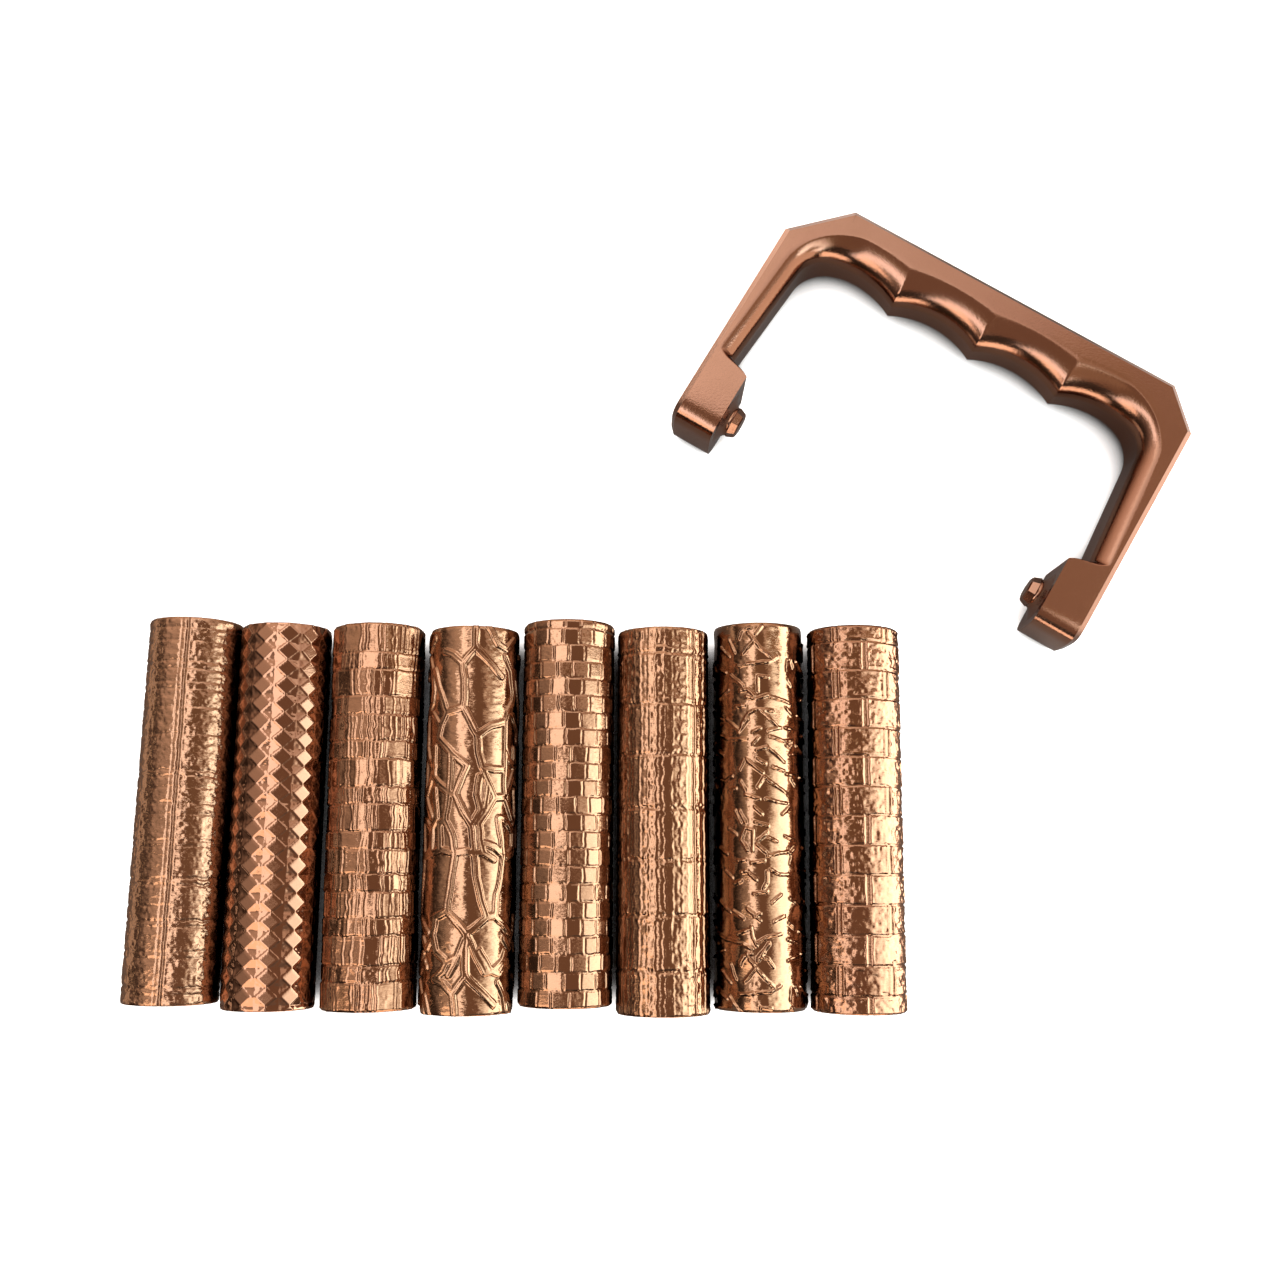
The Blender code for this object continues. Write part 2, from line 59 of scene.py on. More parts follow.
# Rollers, in millimetres
LENGTH = 99.5
BORE = 4.8
SINK = 8.1
SINK_DEPTH = 2.1
AROUND_TOP = 178
AROUND_BELOW = 90
ALONG = 354
END_ROUND = 0.25
END_ROUND_LENGTH = 1.1
END_FLAT_STEP = 0.35
BORE_INSET = 12
BORE_ROWS = 6
PATH_REPEAT = 83.7

# Grip, in millimetres: x across, v from the back edge towards the pads, z up from the table
THICKNESS = 20.0
HALF_WIDTH = 63.1
PIVOT_V = 69.2
PAD_X = 50.15
PAD_TOP_V = 59.3
LEG_TOP = (53.6, 22.0)
LEG_LOW = (56.1, 55.5)
GROOVE_PITCH = 26.2
GROOVE_RADIUS = 26.0
PEAK_V = 17.1
CORNER_RADIUS = 10.0
LEFT_CUT = 14.7
RIGHT_CUT = 10.2
CHAMFER = 1.5
FILLET_DEPTH = 5.0
GROOVE_FILLET_DEPTH = 7.6
FILLET_WIDTH = 4.6
PEAK_FILLET_WIDTH = 8.6
GROOVE_FILLET_WIDTH = 7.2
FILLET_POWER = 1.25
SIDE_START = 40.0
SIDE_END = 57.0
PAD_ROUND_STEPS = 19
STATION_PITCH = 0.5
LEG_PITCH = 0.8
PAD_PITCH = 1.0
FILLET_ROWS = 24
FLAT_ROWS = 8
WALL_ROWS = 9
SIDE_ROWS = 12
GRIP_SHARP = 32.0
PAD_END_POWER = 0.45
GRIP_PLACE = (94.034, 85.487)
GRIP_TURN = -30.9

# Pivot nubs: counts and degrees, then millimetres as (distance from the pad, radius)
NUB_SIDES = 64
NUB_FACETS = 8
NUB_SHARP = 24.0
NUB_BASE = (-0.3, 7.7)
NUB_NECK = (2.1, 4.3)
NUB_HEAD = ((2.15, 4.45), (2.3, 4.5), (4.2, 3.75), (4.55, 3.3), (4.6, 3.0), (4.6, 0.02))

# Share by which mirrored rays lean to the ceiling, so that flanks mirror over the next roller
UPWARD_LEAN = 0.25
STRAW_LEAN = -0.12


def linear(code):
    """A colour of the screen, as six hex digits, in the linear light that shaders use."""
    parts = [int(code[i:i + 2], 16) / 255 for i in (0, 2, 4)]
    return tuple(p / 12.92 if p <= 0.04045 else ((p + 0.055) / 1.055) ** 2.4 for p in parts) + (1.0,)


def step(value, low, high):
    """0 below low, 1 above high and a smooth rise between."""
    share = np.clip((value - low) / (high - low), 0.0, 1.0)
    return share * share * (3 - 2 * share)


def bell(value, width):
    """exp(-(value / width)^2): 1 at 0 and less both ways, the profile of a ridge or a groove."""
    return np.exp(-(value / width) ** 2)


def lumps(seed, wide, tall, angle, place, radius=12.4):
    """Smooth random field in -1..1, with lumps of the given size round the roller and along it.

    A lattice of random values that closes round the roller, blended with a smooth rise both ways.
    """
    around = max(3, round(TURN * radius / wide))
    along = max(2, round(LENGTH / tall))
    table = np.random.default_rng(seed).uniform(-1, 1, (around, along + 2))
    x = (angle / TURN * around) % around
    y = np.clip(place / LENGTH + 0.5, 0, 1) * along
    i, j = x.astype(int) % around, y.astype(int)
    p, q = x - np.floor(x), y - j
    p, q = p * p * (3 - 2 * p), q * q * (3 - 2 * q)
    low = table[i, j] * (1 - p) + table[(i + 1) % around, j] * p
    high = table[i, j + 1] * (1 - p) + table[(i + 1) % around, j + 1] * p
    return low * (1 - q) + high * q


def with_repeats(table, above, shift):
    """A table's rows as paths of (degrees, millimetres).

    Those that reach above a height come once more, turned by a shift and one repeat down the roller.
    """
    paths = [list(zip(row[::2], row[1::2])) for row in table]
    high = [path for path in paths if max(t for _, t in path) > above]
    return paths + [[(a + shift, t - PATH_REPEAT) for a, t in path] for path in high]


def path_distance(paths, angle, place, radius, copies=(0.0,)):
    """Distance on the unrolled skin to the nearest of some paths, each a list of (degrees, millimetres).

    It also returns how far along its stretch the nearest point lies, from 0 to 1.
    """
    angle, place = np.broadcast_arrays(angle, place)
    best = np.full(angle.shape, 99.0)
    share = np.zeros(angle.shape)
    for shift in copies:
        for path in paths:
            for (a0, t0), (a1, t1) in zip(path, path[1:]):
                rows = np.abs(place[:, 0] - (t0 + t1) / 2) < abs(t1 - t0) / 2 + 3.0
                x = ((angle[rows] - math.radians(a0 + shift) + math.pi) % TURN - math.pi) * radius
                y = place[rows] - t0
                run = math.radians(a1 - a0) * radius
                rise = t1 - t0
                along = np.clip((x * run + y * rise) / (run * run + rise * rise + 1e-9), 0, 1)
                gap = np.hypot(x - along * run, y - along * rise)
                closer = gap < best[rows]
                best[rows] = np.where(closer, gap, best[rows])
                share[rows] = np.where(closer, along, share[rows])
    return best, share


def bricks(lines, joints, angle, place, radius):
    """Which brick each point lies in, and where in it.

    lines are the ring lines from the near end to the far one; joints gives the upright joints of each
    course in degrees. Returns the brick's number, the place from its middle round and along in
    millimetres, and its half width and half height.
    """
    shape = np.broadcast(angle, place).shape
    place = np.broadcast_to(place, shape)
    angle = np.broadcast_to(angle, shape) % TURN
    lines = np.asarray(lines, float)
    course = np.clip(np.searchsorted(lines, place) - 1, 0, len(lines) - 2)
    number = np.zeros(shape, int)
    x, half_x = np.zeros(shape), np.ones(shape)
    for level in range(len(lines) - 1):
        here = course == level
        marks = np.sort(np.radians(joints[level % len(joints)]) % TURN)
        spot = np.searchsorted(marks, angle[here])
        start = np.where(spot == 0, marks[-1] - TURN, marks[spot - 1])
        end = np.where(spot == len(marks), marks[0] + TURN, marks[spot % len(marks)])
        number[here] = level * 64 + spot % len(marks)
        x[here] = (angle[here] - (start + end) / 2) * radius
        half_x[here] = (end - start) / 2 * radius
    y = place - (lines[course] + lines[course + 1]) / 2
    half_y = (lines[course + 1] - lines[course]) / 2
    return number, x, y, half_x, half_y


def per_brick(seed, number):
    """One random value in -1..1 for each brick."""
    table = np.random.default_rng(seed).uniform(-1, 1, number.max() + 1)
    return table[number]


def edge_gap(x, y, half_x, half_y, corner):
    """Distance inside a brick's edge, with its corners rounded."""
    a, b = half_x - np.abs(x), half_y - np.abs(y)
    inner = corner - np.hypot(np.maximum(corner - a, 0), np.maximum(corner - b, 0))
    return np.where((a < corner) & (b < corner), inner, np.minimum(a, b))


def random_joints(seed, courses, pitch, spread):
    """Upright joints for each course in degrees, unevenly spaced round about a pitch."""
    dice = np.random.default_rng(seed)
    count = round(360 / pitch)
    return [(np.arange(count) + dice.uniform(0, 1) + dice.uniform(-spread, spread, count)) * 360 / count
            for _ in range(courses)]


def rough_plank(angle, place, radius):
    """Rings of uneven width under a fuzzy skin, and one upright seam along the whole roller."""
    depth = 0.14 + 0.05 * lumps(1, 3.0, 4.0, angle, place) + 0.07 * lumps(2, 0.8, 0.6, angle, place)
    depth += 0.09 * lumps(3, 1.5, 1.1, angle, place)
    wander = 0.25 * lumps(4, 5.0, 40.0, angle, place)
    rings = ((47.3, 0), (43.8, 0), (38.2, 1), (36.3, 1), (32.8, 0), (30.9, 0), (26.2, 0), (19.0, 0),
             (9.5, 1), (8.0, 1), (5.0, 0), (1.0, 0), (-1.8, 0), (-8.6, 0), (-10.0, 0), (-18.2, 1),
             (-19.8, 1), (-25.0, 0), (-28.7, 1), (-30.2, 0), (-36.4, 0), (-38.0, 0), (-45.3, 1), (-47.0, 0))
    for order, (ring, rough) in enumerate(rings):
        fray = 0.35 * rough * lumps(20 + order, 1.2, 40.0, angle, place)
        depth += (0.17 + 0.08 * rough) * bell(place - ring + wander + fray, 0.36)
    seam = math.radians(7.5)
    off = ((angle - seam + math.pi) % TURN - math.pi) * radius + 0.1 * lumps(7, 60.0, 3.0, angle, place)
    depth += 0.30 * bell(off, 0.30) - 0.06 * bell(off - 0.75, 0.35)
    return depth + 0.12 * bell(off + 1.6, 0.25)


def diamond_knurl(angle, place, radius):
    """Flat raised diamonds in twelve columns. Facets fall from them to an upright fold between columns.

    A diamond's plate is a plane square to its column's middle, so its distance from the axis is
    constant over the cosine of the angle from that middle.
    """
    columns, pitch, lean = 12, 4.65, 0.00087
    sector = TURN / columns
    middle = sector / 2
    turned = angle - middle - lean * place
    across = (turned + sector / 2) % sector - sector / 2
    along = (place - 0.4 + pitch / 2) % pitch - pitch / 2
    x = across * radius
    reach = np.abs(x) / 2.65 + np.abs(along) / 2.32
    flat = 11.86 / np.cos(across)
    depth = radius - flat + 0.52 * np.maximum(reach - 1.0, 0) + 0.16 * step(reach, 0.97, 1.09)
    upper = bell(reach - 0.86, 0.045) * (along > 0)
    depth += 0.09 * upper - 0.03 * bell(reach - 0.95, 0.04)
    return depth + 0.05 * (reach > 1.06) * lumps(6, 0.9, 0.6, angle, place)


def ashlar_course(angle, place, radius):
    """Courses of two heights in turn, with blocks of uneven width, raised uneven joints and soft corners."""
    lines = (-49.8, -42.5, -38.3, -31.0, -26.5, -20.0, -15.5, -9.3, -4.7, 2.3, 6.8, 14.0, 18.7, 25.5,
             30.5, 37.5, 42.0, 49.8)
    joints = random_joints(31, len(lines) - 1, 26.0, 0.24)
    bent = angle + math.radians(1.2) * lumps(32, 6.0, 1.6, angle, place)
    waved = place + 0.28 * lumps(33, 1.7, 8.0, angle, place)
    number, x, y, half_x, half_y = bricks(lines, joints, bent, waved, radius)
    side, level = half_x - np.abs(x), half_y - np.abs(y)
    soft = 0.7 + 0.5 * per_brick(41, number)
    depth = 0.14 + 0.24 * bell(level, 0.26) - 0.08 * bell(level - 0.62, 0.25)
    depth += 0.24 * soft * bell(side, 0.28)
    depth -= 0.12 * soft * bell(side - 0.65, 0.26)
    depth += 0.75 * np.maximum(half_x ** 2 - x ** 2, 0) / (2 * radius)
    depth += 0.05 * per_brick(34, number) * x + 0.02 * per_brick(35, number) * y
    inside = step(side, 0.5, 1.1)
    for seed, share, wide in ((36, 0.65, 0.26), (44, -0.2, 0.20), (47, 0.35, 0.22)):
        ridge = x - share * half_x * (1 + per_brick(seed, number))
        ridge += 0.35 * lumps(seed + 1, 3.0, 1.6, angle, place)
        pick = per_brick(seed + 2, number) > -0.25
        depth -= 0.13 * pick * inside * bell(ridge, wide)
        depth += 0.07 * pick * inside * bell(ridge - 2 * wide, wide)
    speckle = step(lumps(50, 3.5, 3.5, angle, place) + 0.6 * per_brick(43, number), 0.0, 0.6)
    depth += 0.030 * lumps(39, 1.3, 1.8, angle, place)
    return depth + (0.012 + 0.055 * speckle) * lumps(40, 0.75, 0.6, angle, place)


# Ridges of the cracked stone and straws, each a row of degrees and millimetres in turn
CRACKS = (
    (7, 43.7, -8, 39.5, -4, 33.5, -4.5, 30, -6, 28, 4, 24.2, 13, 20.8, 15, 17, 20, 12.4),
    (-8, 39.5, -20, 42, -34, 43), (-6, 28, -18, 27.3, -28, 26.8, -38, 31.5, -52, 38.5),
    (-28, 26.8, -36, 23.5, -40, 20.3, -20, 16.4, 0, 12.8, -8, 8.5, -13, 5.5, -3, 1, 8, -2.6),
    (7.5, 50, 7.7, 44.5, 10, 43.4, 44, 36.6), (24, 50, 38, 45, 52, 44, 66, 47),
    (50, 42, 61, 38.5, 67, 33, 65, 30, 56, 27.4, 52, 24.8, 30, 23.2, 13, 20.8),
    (56, 27.4, 66, 26.8, 80, 23.5), (52, 24.8, 52, 18, 60, 14.6, 74, 12.8, 54, 5),
    (20, 12.4, 35, 12, 52, 12.3, 52, 18), (52, 12.3, 51, 8, 54, 5, 37, 4.8, 22, 11),
    (17, 10, 14, 5.5, 19, 1.5, 8, -2.6), (19, 1.5, 24, 2.2, 27, 7.5),
    (37, 4.8, 27, 1, 17, -2, 20, -6, 24, -9.4), (54, 5, 62, 2, 70, -0.5),
    (-48, 18, -47, 10, -36, 8, -20, 6, -13, 5.5), (-20, 16, -21, 6),
    (-45, 7, -40, -0.5, -48, -3, -48, -9.5), (-22, 6, -26, -1, -34, -2, -31, -8.6),
    (8, -2.6, 10, -5, 13, -9.4), (-26, -1, -17, -4.5, -11, -9.5),
    (-60, -10.5, -48, -9.5, -30, -8.6, -11, -9.5), (-11, -9.5, 1, -8.9, 13, -9.4, 24, -9.4, 38, -11),
    (-11, -9.5, -16, -17, -20, -24, 0, -28, 6, -29.6), (13, -9.4, 16, -15, 22, -21, 30, -25.6, 6, -29.6),
    (44, -0.5, 49, -6, 52, -9.8, 50, -14, 44, -20, 42, -25.2, 30, -25.6),
    (24, -7, 38, -7.8, 52, -9.8, 60, -10, 72, -8), (46, -0.5, 60, -1.5, 72, -4),
    (42, -25.2, 56, -27.5, 70, -29.8), (6, -29.6, 16, -34, 29, -39.2, 42, -38.6, 54, -36.6, 60, -34.5),
    (54, -36.6, 68, -38), (6, -29.6, 4, -34, 4.5, -39.4),
    (-20, -24, -36, -25.6, -40, -30, -34, -34, -18, -36.6, -5, -35.5, 3, -31),
    (-18, -36.6, -24, -39, -34, -40.6), (-5, -35.5, -9, -37.5, -16, -39.6),
    (-40, -30, -52, -33.5, -62, -31),
)


def cracked_stone(angle, place, radius):
    """Smooth stones between raised flat-topped ridges that branch and meet, as mortar does round rubble.

    The ridges follow paths on the unrolled skin, repeated once along the roller and three times round it.
    """
    bent = angle + math.radians(0.7) * lumps(51, 4.0, 2.0, angle, place)
    waved = place + 0.15 * lumps(52, 2.0, 4.0, angle, place)
    gap, _ = path_distance(with_repeats(CRACKS, 30, -2), bent, waved, radius, (0.0, 120.0, 240.0))
    rise = 1 - step(gap, 0.62, 1.08)
    top = 0.03 + 0.13 * bell(gap, 0.34)
    floor = 0.62 + 0.10 * lumps(53, 6.0, 8.0, angle, place) - 0.10 * step(gap, 1.1, 4.0)
    floor += 0.045 * lumps(54, 1.8, 0.8, angle, place) + 0.030 * lumps(55, 1.0, 0.6, angle, place)
    return top * rise + floor * (1 - rise)


def small_tile(angle, place, radius):
    """Small flat tiles in rings, each tilted a little its own way, with thin rough joints."""
    pitch = 4.42
    count = 23
    lines = [-49.8 + pitch * level for level in range(count)] + [49.8]
    joints = random_joints(61, count, 20.0, 0.07)
    bent = angle + math.radians(0.7) * lumps(62, 3.0, 1.2, angle, place)
    waved = place + 0.12 * lumps(63, 1.5, 6.0, angle, place)
    number, x, y, half_x, half_y = bricks(lines, joints, bent, waved, radius)
    gap = edge_gap(x, y, half_x, half_y, 0.6)
    depth = 0.05 + 0.26 * (1 - step(gap, 0.10, 0.42))
    depth += 0.85 * np.maximum(half_x ** 2 - x ** 2, 0) / (2 * radius)
    depth += 0.038 * per_brick(64, number) * x + 0.016 * per_brick(65, number) * y
    depth += 0.04 * (1 + per_brick(66, number)) + 0.010 * lumps(67, 1.4, 0.5, angle, place)
    rough = 1 - step(gap, 0.2, 0.7) + 0.5 * (per_brick(68, number) > 0.55)
    return depth + 0.05 * rough * lumps(69, 0.6, 0.5, angle, place)


def wood_strip(angle, place, radius):
    """Narrow boards along the roller with wavy raised edges, in courses with rough dotted joints."""
    courses = np.array((43.0, 29.6, 16.2, 2.3, -10.8, -24.8, -38.6))
    level = np.searchsorted(-courses, -place)
    slip = math.radians(1.3) * np.sin(level * 2.4)
    strip = math.radians(20)
    turned = angle + slip
    board = np.floor((turned + strip / 2) / strip).astype(int) % 18
    wild = 0.35 + 0.65 * (np.sin(board * 2.9) > -0.4)
    wavy = math.radians(1.5) * lumps(71, 5.0, 1.3, angle, place)
    wavy += math.radians(1.0) * lumps(72, 5.0, 0.7, angle, place)
    off = ((turned + wild * wavy + strip / 2) % strip - strip / 2) * radius
    bold = 0.35 + 0.65 * (np.sin(board * 4.3) > 0.0)
    depth = 0.28 - 0.17 * bold * bell(off - 0.35, 0.30)
    depth += 0.18 * bold * bell(off + 0.25, 0.28)
    half = ((turned + 0.8 * wavy) % strip - strip / 2) * radius
    pick = np.sin(board * 12.9898) > -0.1
    depth -= 0.09 * pick * bell(half, 0.28)
    depth += 0.05 * pick * bell(half - 0.6, 0.30)
    busy = step(lumps(75, 4.0, 80.0, angle, place), -0.4, 0.3)
    depth += 0.02 * lumps(73, 0.9, 3.5, angle, place)
    depth += (0.02 + 0.10 * busy) * lumps(74, 0.9, 0.8, angle, place)
    depth += (0.02 + 0.09 * busy) * lumps(76, 1.6, 1.1, angle, place)
    for order, ring in enumerate(courses):
        fray = 0.3 * lumps(80 + order, 1.4, 60.0, angle, place)
        off = place - ring + fray
        dots = 0.5 + 0.5 * lumps(90 + order, 0.9, 60.0, angle, place)
        depth += 0.36 * dots * bell(off, 0.42)
        edges = bell(off - 0.9, 0.35) + bell(off + 0.9, 0.35)
        depth = depth - 0.19 * edges * (0.6 + 0.7 * lumps(100 + order, 0.9, 60.0, angle, place))
    return np.maximum(depth, 0.0)


STRAWS = (
    (-8, 46.5, 0, 48.8), (-30, 45.5, -26, 47.6, -15, 48.4), (-18, 47, -10, 45, 0, 42.4, 12, 40.2),
    (-10, 45, -25, 41.5), (-32, 38.2, -10, 38.8, 8, 39.2, 20, 40.6), (-5, 31.5, -5, 35.3, 8, 35.1),
    (-42, 36, -24, 32.8), (-28, 31.7, -18, 31.9, -10, 30.2), (-20, 30.0, -8, 29.3, 7, 30.4),
    (10, 29.9, 28, 29.2, 40, 28.3), (-26, 22.6, -18, 25.6, -8, 26.6, 2, 26.5, 14, 26.2),
    (0, 26.2, 20, 22.2), (-18, 24.2, -30, 20.8), (-50, 24.6, -30, 21.4), (-60, 20.5, -42, 18.9, -20, 18.9),
    (8, 21.0, 24, 22.0), (-12, 20.6, -2, 21.8), (-12, 17.6, -4, 19.4), (10, 19.6, 28, 18.5),
    (8, 16.6, 28, 13), (-8, 16, 6, 16.9), (-20, 13.6, 0, 10.1), (-6, 6.5, 2, 9.2, 14, 7.3, 30, 5),
    (-22, 4.6, -4, 3.4), (4, 3.4, 16, 2.9, 31, 2.3), (33, 37, 34, 40, 42, 40.4, 47, 38), (35, 35, 42, 33.2),
    (32, 27.2, 44, 25.4), (31, 18.6, 44, 18.8, 38, 16.8, 32, 17.5), (36, 15, 47, 15.5), (31, 10, 46, 9.5),
    (40, 8.6, 48, 6.8), (30, 22, 44, 21.4), (-75, 40, -50, 36.8), (-75, 25.6, -54, 24.5),
    (-76, 17.6, -54, 15), (-60, 44, -44, 41), (-44, 45.6, -36, 42), (-62, 30, -46, 32),
    (-70, 9.4, -52, 8.2, -40, 9.4), (-45, 5.5, -34, 6.2), (-36, 0.6, -28, -2.5), (-30, 0.4, -22, -2.4),
    (-10, 1.4, -2, -0.4), (-10, -2.5, 6, -3.4), (-13, -9.6, -12, -4.5, -22, -4, -28, -7, -20, -9.6),
    (-6, -7.2, 5, -5), (-8, -8, 6, -10.6), (5, -11.1, 20, -10.3, 34, -9.8), (-33, -12.3, -22, -12.1),
    (-15, -12.9, 1, -12.1), (8, -14.4, 20, -15.6, 38, -15.6), (4, -15, 4.5, -17.4, 0, -19.2),
    (-28, -15.2, -20, -14.7), (-18, -15.4, -9, -17.2), (-12, -20.6, 4, -19.8), (10, -22.7, 22, -20.6),
    (-38, -18.2, -28, -17.3), (-20, -24.2, -4, -27.2), (-12, -26.2, -4, -25.4), (-34, -30.7, -18, -29.3),
    (-16, -28.8, -14, -31.4, -9, -33.4), (-8, -32.7, 4, -31.2, 22, -30.4), (6, -32.8, -8, -36.4),
    (-5, -35.9, 5, -36.6, 11, -38.6), (-20, -35.2, -30, -37.6), (-50, -32, -26, -33, -14, -34.2),
    (-46, -46, -35, -48.6), (30, -31.8, 40, -32.4, 50, -33.2), (34, -21.6, 52, -23.6),
    (36, -10.4, 46, -8.6), (28, -6, 42, -6.8), (34, -13, 38, -11), (-64, -8.8, -48, -10.6),
    (-62, -22.4, -44, -25.2), (-76, -30, -50, -32.2), (-72, -35.6, -54, -34.8), (-52, -14.6, -40, -16.6),
    (-40, -24.8, -26, -26.6), (32, -27.6, 44, -29.2), (24, -0.4, 36, 1.8), (30, -37, 46, -36),
    (-46, -4, -34, -5.6), (-30, 11, -24, 13.4), (-34, 27.4, -22, 27.8), (14, 11.6, 28, 10.8),
    (-6, 13.8, 4, 12.6), (-28, 8, -22, 5.8), (12, -27.4, 26, -26), (6, -6.2, 18, -7.4),
)


def straw(angle, place, radius):
    """Short straws pressed on smooth ground at many angles, some joined in chevrons.

    The straws follow paths on the unrolled skin, repeated once along the roller and three times round it.
    """
    bent = angle + math.radians(0.6) * lumps(101, 2.2, 2.2, angle, place)
    waved = place + 0.10 * lumps(102, 2.0, 2.0, angle, place)
    gap, share = path_distance(with_repeats(STRAWS, 34, 0), bent, waved, radius, (0.0, 127.0, 240.0))
    rise = 1 - step(gap, 0.12, 0.50)
    ground = 0.58 + 0.16 * lumps(103, 4.5, 4.5, angle, place) + 0.03 * lumps(104, 2.0, 1.2, angle, place)
    rough = step(lumps(105, 6.0, 6.0, angle, place), 0.0, 0.5)
    ground += 0.05 * rough * lumps(106, 0.9, 0.7, angle, place)
    top = 0.10 + 0.12 * np.sin(share * 5.0) ** 2
    return ground * (1 - rise) + top * rise


def stone_block(angle, place, radius):
    """Long bricks in running bond, with mottled faces, a few pits and narrow sunk joints."""
    pitch = 7.56
    lines = [-49.8] + [-45.3 + pitch * level for level in range(13)] + [49.8]
    joints = [(5, 77, 146, 220, 293) if level % 2 == 0 else (-31, 35, 110, 182, 256) for level in range(14)]
    bent = angle + math.radians(0.5) * lumps(121, 3.0, 3.0, angle, place)
    waved = place + 0.12 * lumps(122, 3.0, 6.0, angle, place)
    _, x, y, half_x, half_y = bricks(lines, joints, bent, waved, radius)
    side, level = half_x - np.abs(x), half_y - np.abs(y)
    trough = 1 - step(side, 0.45, 0.75)
    depth = 0.26 + 0.24 * trough - 0.16 * bell(side - 0.95, 0.28)
    depth += 0.26 * bell(level, 0.30) - 0.13 * bell(level - 0.65, 0.26)
    face = step(side, 0.6, 1.2) * step(level, 0.3, 0.8)
    mottle = 0.15 * lumps(123, 1.7, 1.3, angle, place) + 0.11 * lumps(124, 0.9, 0.8, angle, place)
    mottle += 0.08 * lumps(125, 3.2, 2.6, angle, place)
    pits = step(lumps(126, 1.5, 1.3, angle, place), 0.72, 0.92)
    return depth + face * (mottle + 0.22 * pits)


ROLLERS = (
    ("rough_plank", rough_plank, 12.25), ("diamond_knurl", diamond_knurl, 12.10),
    ("ashlar_course", ashlar_course, 12.45), ("cracked_stone", cracked_stone, 12.45),
    ("small_tile", small_tile, 12.45), ("wood_strip", wood_strip, 12.45),
    ("straw", straw, 12.45), ("stone_block", stone_block, 12.45),
)


def grid_object(name, points, close_rows, close_columns, sharp=30.0):
    """A mesh piece from a grid of points in metres, closed over the last row or column where asked."""
    rows, columns = points.shape[:2]
    i = np.arange(rows if close_rows else rows - 1)[:, None]
    j = np.arange(columns if close_columns else columns - 1)[None, :]
    ni, nj = (i + 1) % rows, (j + 1) % columns
    quads = np.stack([i * columns + j, ni * columns + j, ni * columns + nj, i * columns + nj], axis=-1)
    quads = quads.reshape(-1, 4)
    flat = points.reshape(-1, 3)
    corner = flat[quads]
    volume = np.einsum("ij,ij->i", corner[:, 0], np.cross(corner[:, 1], corner[:, 2])).sum()
    volume += np.einsum("ij,ij->i", corner[:, 0], np.cross(corner[:, 2], corner[:, 3])).sum()
    if volume < 0:
        quads = quads[:, ::-1]
    mesh = bpy.data.meshes.new(name)
    mesh.vertices.add(len(flat))
    mesh.vertices.foreach_set("co", flat.ravel())
    mesh.loops.add(quads.size)
    mesh.loops.foreach_set("vertex_index", quads.ravel().astype(np.int32))
    mesh.polygons.add(len(quads))
    mesh.polygons.foreach_set("loop_start", np.arange(0, quads.size, 4, dtype=np.int32))
    mesh.update(calc_edges=True)
    mesh.validate()
    mesh.shade_smooth()
    if sharp:
        mesh.set_sharp_from_angle(angle=math.radians(sharp))
    piece = bpy.data.objects.new(name, mesh)
    bpy.context.scene.collection.objects.link(piece)
    return piece


def roller_piece(name, pattern, radius, joint):
    """One roller: its patterned skin, then each flat end, countersink and the bore as further rings.

    A skin point lies at pos + t*axis + (radius - depth)*(sin angle * side + cos angle * up).
    """
    pos = np.array(joint["pos_m"]) / MM
    axis = np.array(joint["axis"])
    axis = axis / np.linalg.norm(axis)
    up = np.array([0.0, 0.0, 1.0])
    side = np.cross(axis, up)
    top = np.linspace(-math.pi / 2, math.pi / 2, AROUND_TOP, endpoint=False)
    below = np.linspace(math.pi / 2, 3 * math.pi / 2, AROUND_BELOW, endpoint=False)
    angle = np.concatenate([top, below])[None, :]
    place = np.linspace(-LENGTH / 2, LENGTH / 2, ALONG)[:, None]
    depth = np.maximum(pattern(angle, place, radius), 0.0)
    from_end = LENGTH / 2 - np.abs(place)
    depth += END_ROUND * (1 - step(from_end, 0.0, END_ROUND_LENGTH)) ** 2
    reach = [radius - depth]
    spots = [np.broadcast_to(place, depth.shape)]
    half = LENGTH / 2
    ring = np.ones((1, AROUND_TOP + AROUND_BELOW))
    rim = (radius - depth)[-1:].copy()
    near = (radius - depth)[:1].copy()
    # From the rim down the countersink into the bore, as (radius, drop below the flat end)
    funnel = ((SINK + 0.3, 0.0), (SINK, 0.05), (SINK - 0.2, 0.15), (BORE + 0.1, SINK_DEPTH - 0.1),
              (BORE, SINK_DEPTH + 0.1))
    ends = [(rim - END_FLAT_STEP, half)] + [(ring * size, half - drop) for size, drop in funnel]
    ends += [(ring * BORE, level) for level in np.linspace(half - BORE_INSET, BORE_INSET - half, BORE_ROWS)]
    ends += [(ring * size, drop - half) for size, drop in funnel[::-1]] + [(near - END_FLAT_STEP, -half)]
    for size, level in ends:
        reach.append(size)
        spots.append(ring * level)
    reach, spots = np.vstack(reach), np.vstack(spots)
    turn = np.broadcast_to(angle, reach.shape)
    outward = np.sin(turn)[..., None] * side + np.cos(turn)[..., None] * up
    points = pos + spots[..., None] * axis + reach[..., None] * outward
    piece = grid_object("skin_" + name, points * MM, True, True, 0)
    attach(piece, "roller_" + name + "_body")
    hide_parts("roller_" + name)
    return piece


def arc(centre, radius, start, end, pitch):
    """Points along an arc at about the given spacing, both ends included."""
    count = max(2, math.ceil(abs(end - start) * radius / pitch))
    angles = np.linspace(start, end, count + 1)
    return np.stack([centre[0] + radius * np.cos(angles), centre[1] + radius * np.sin(angles)], axis=1)


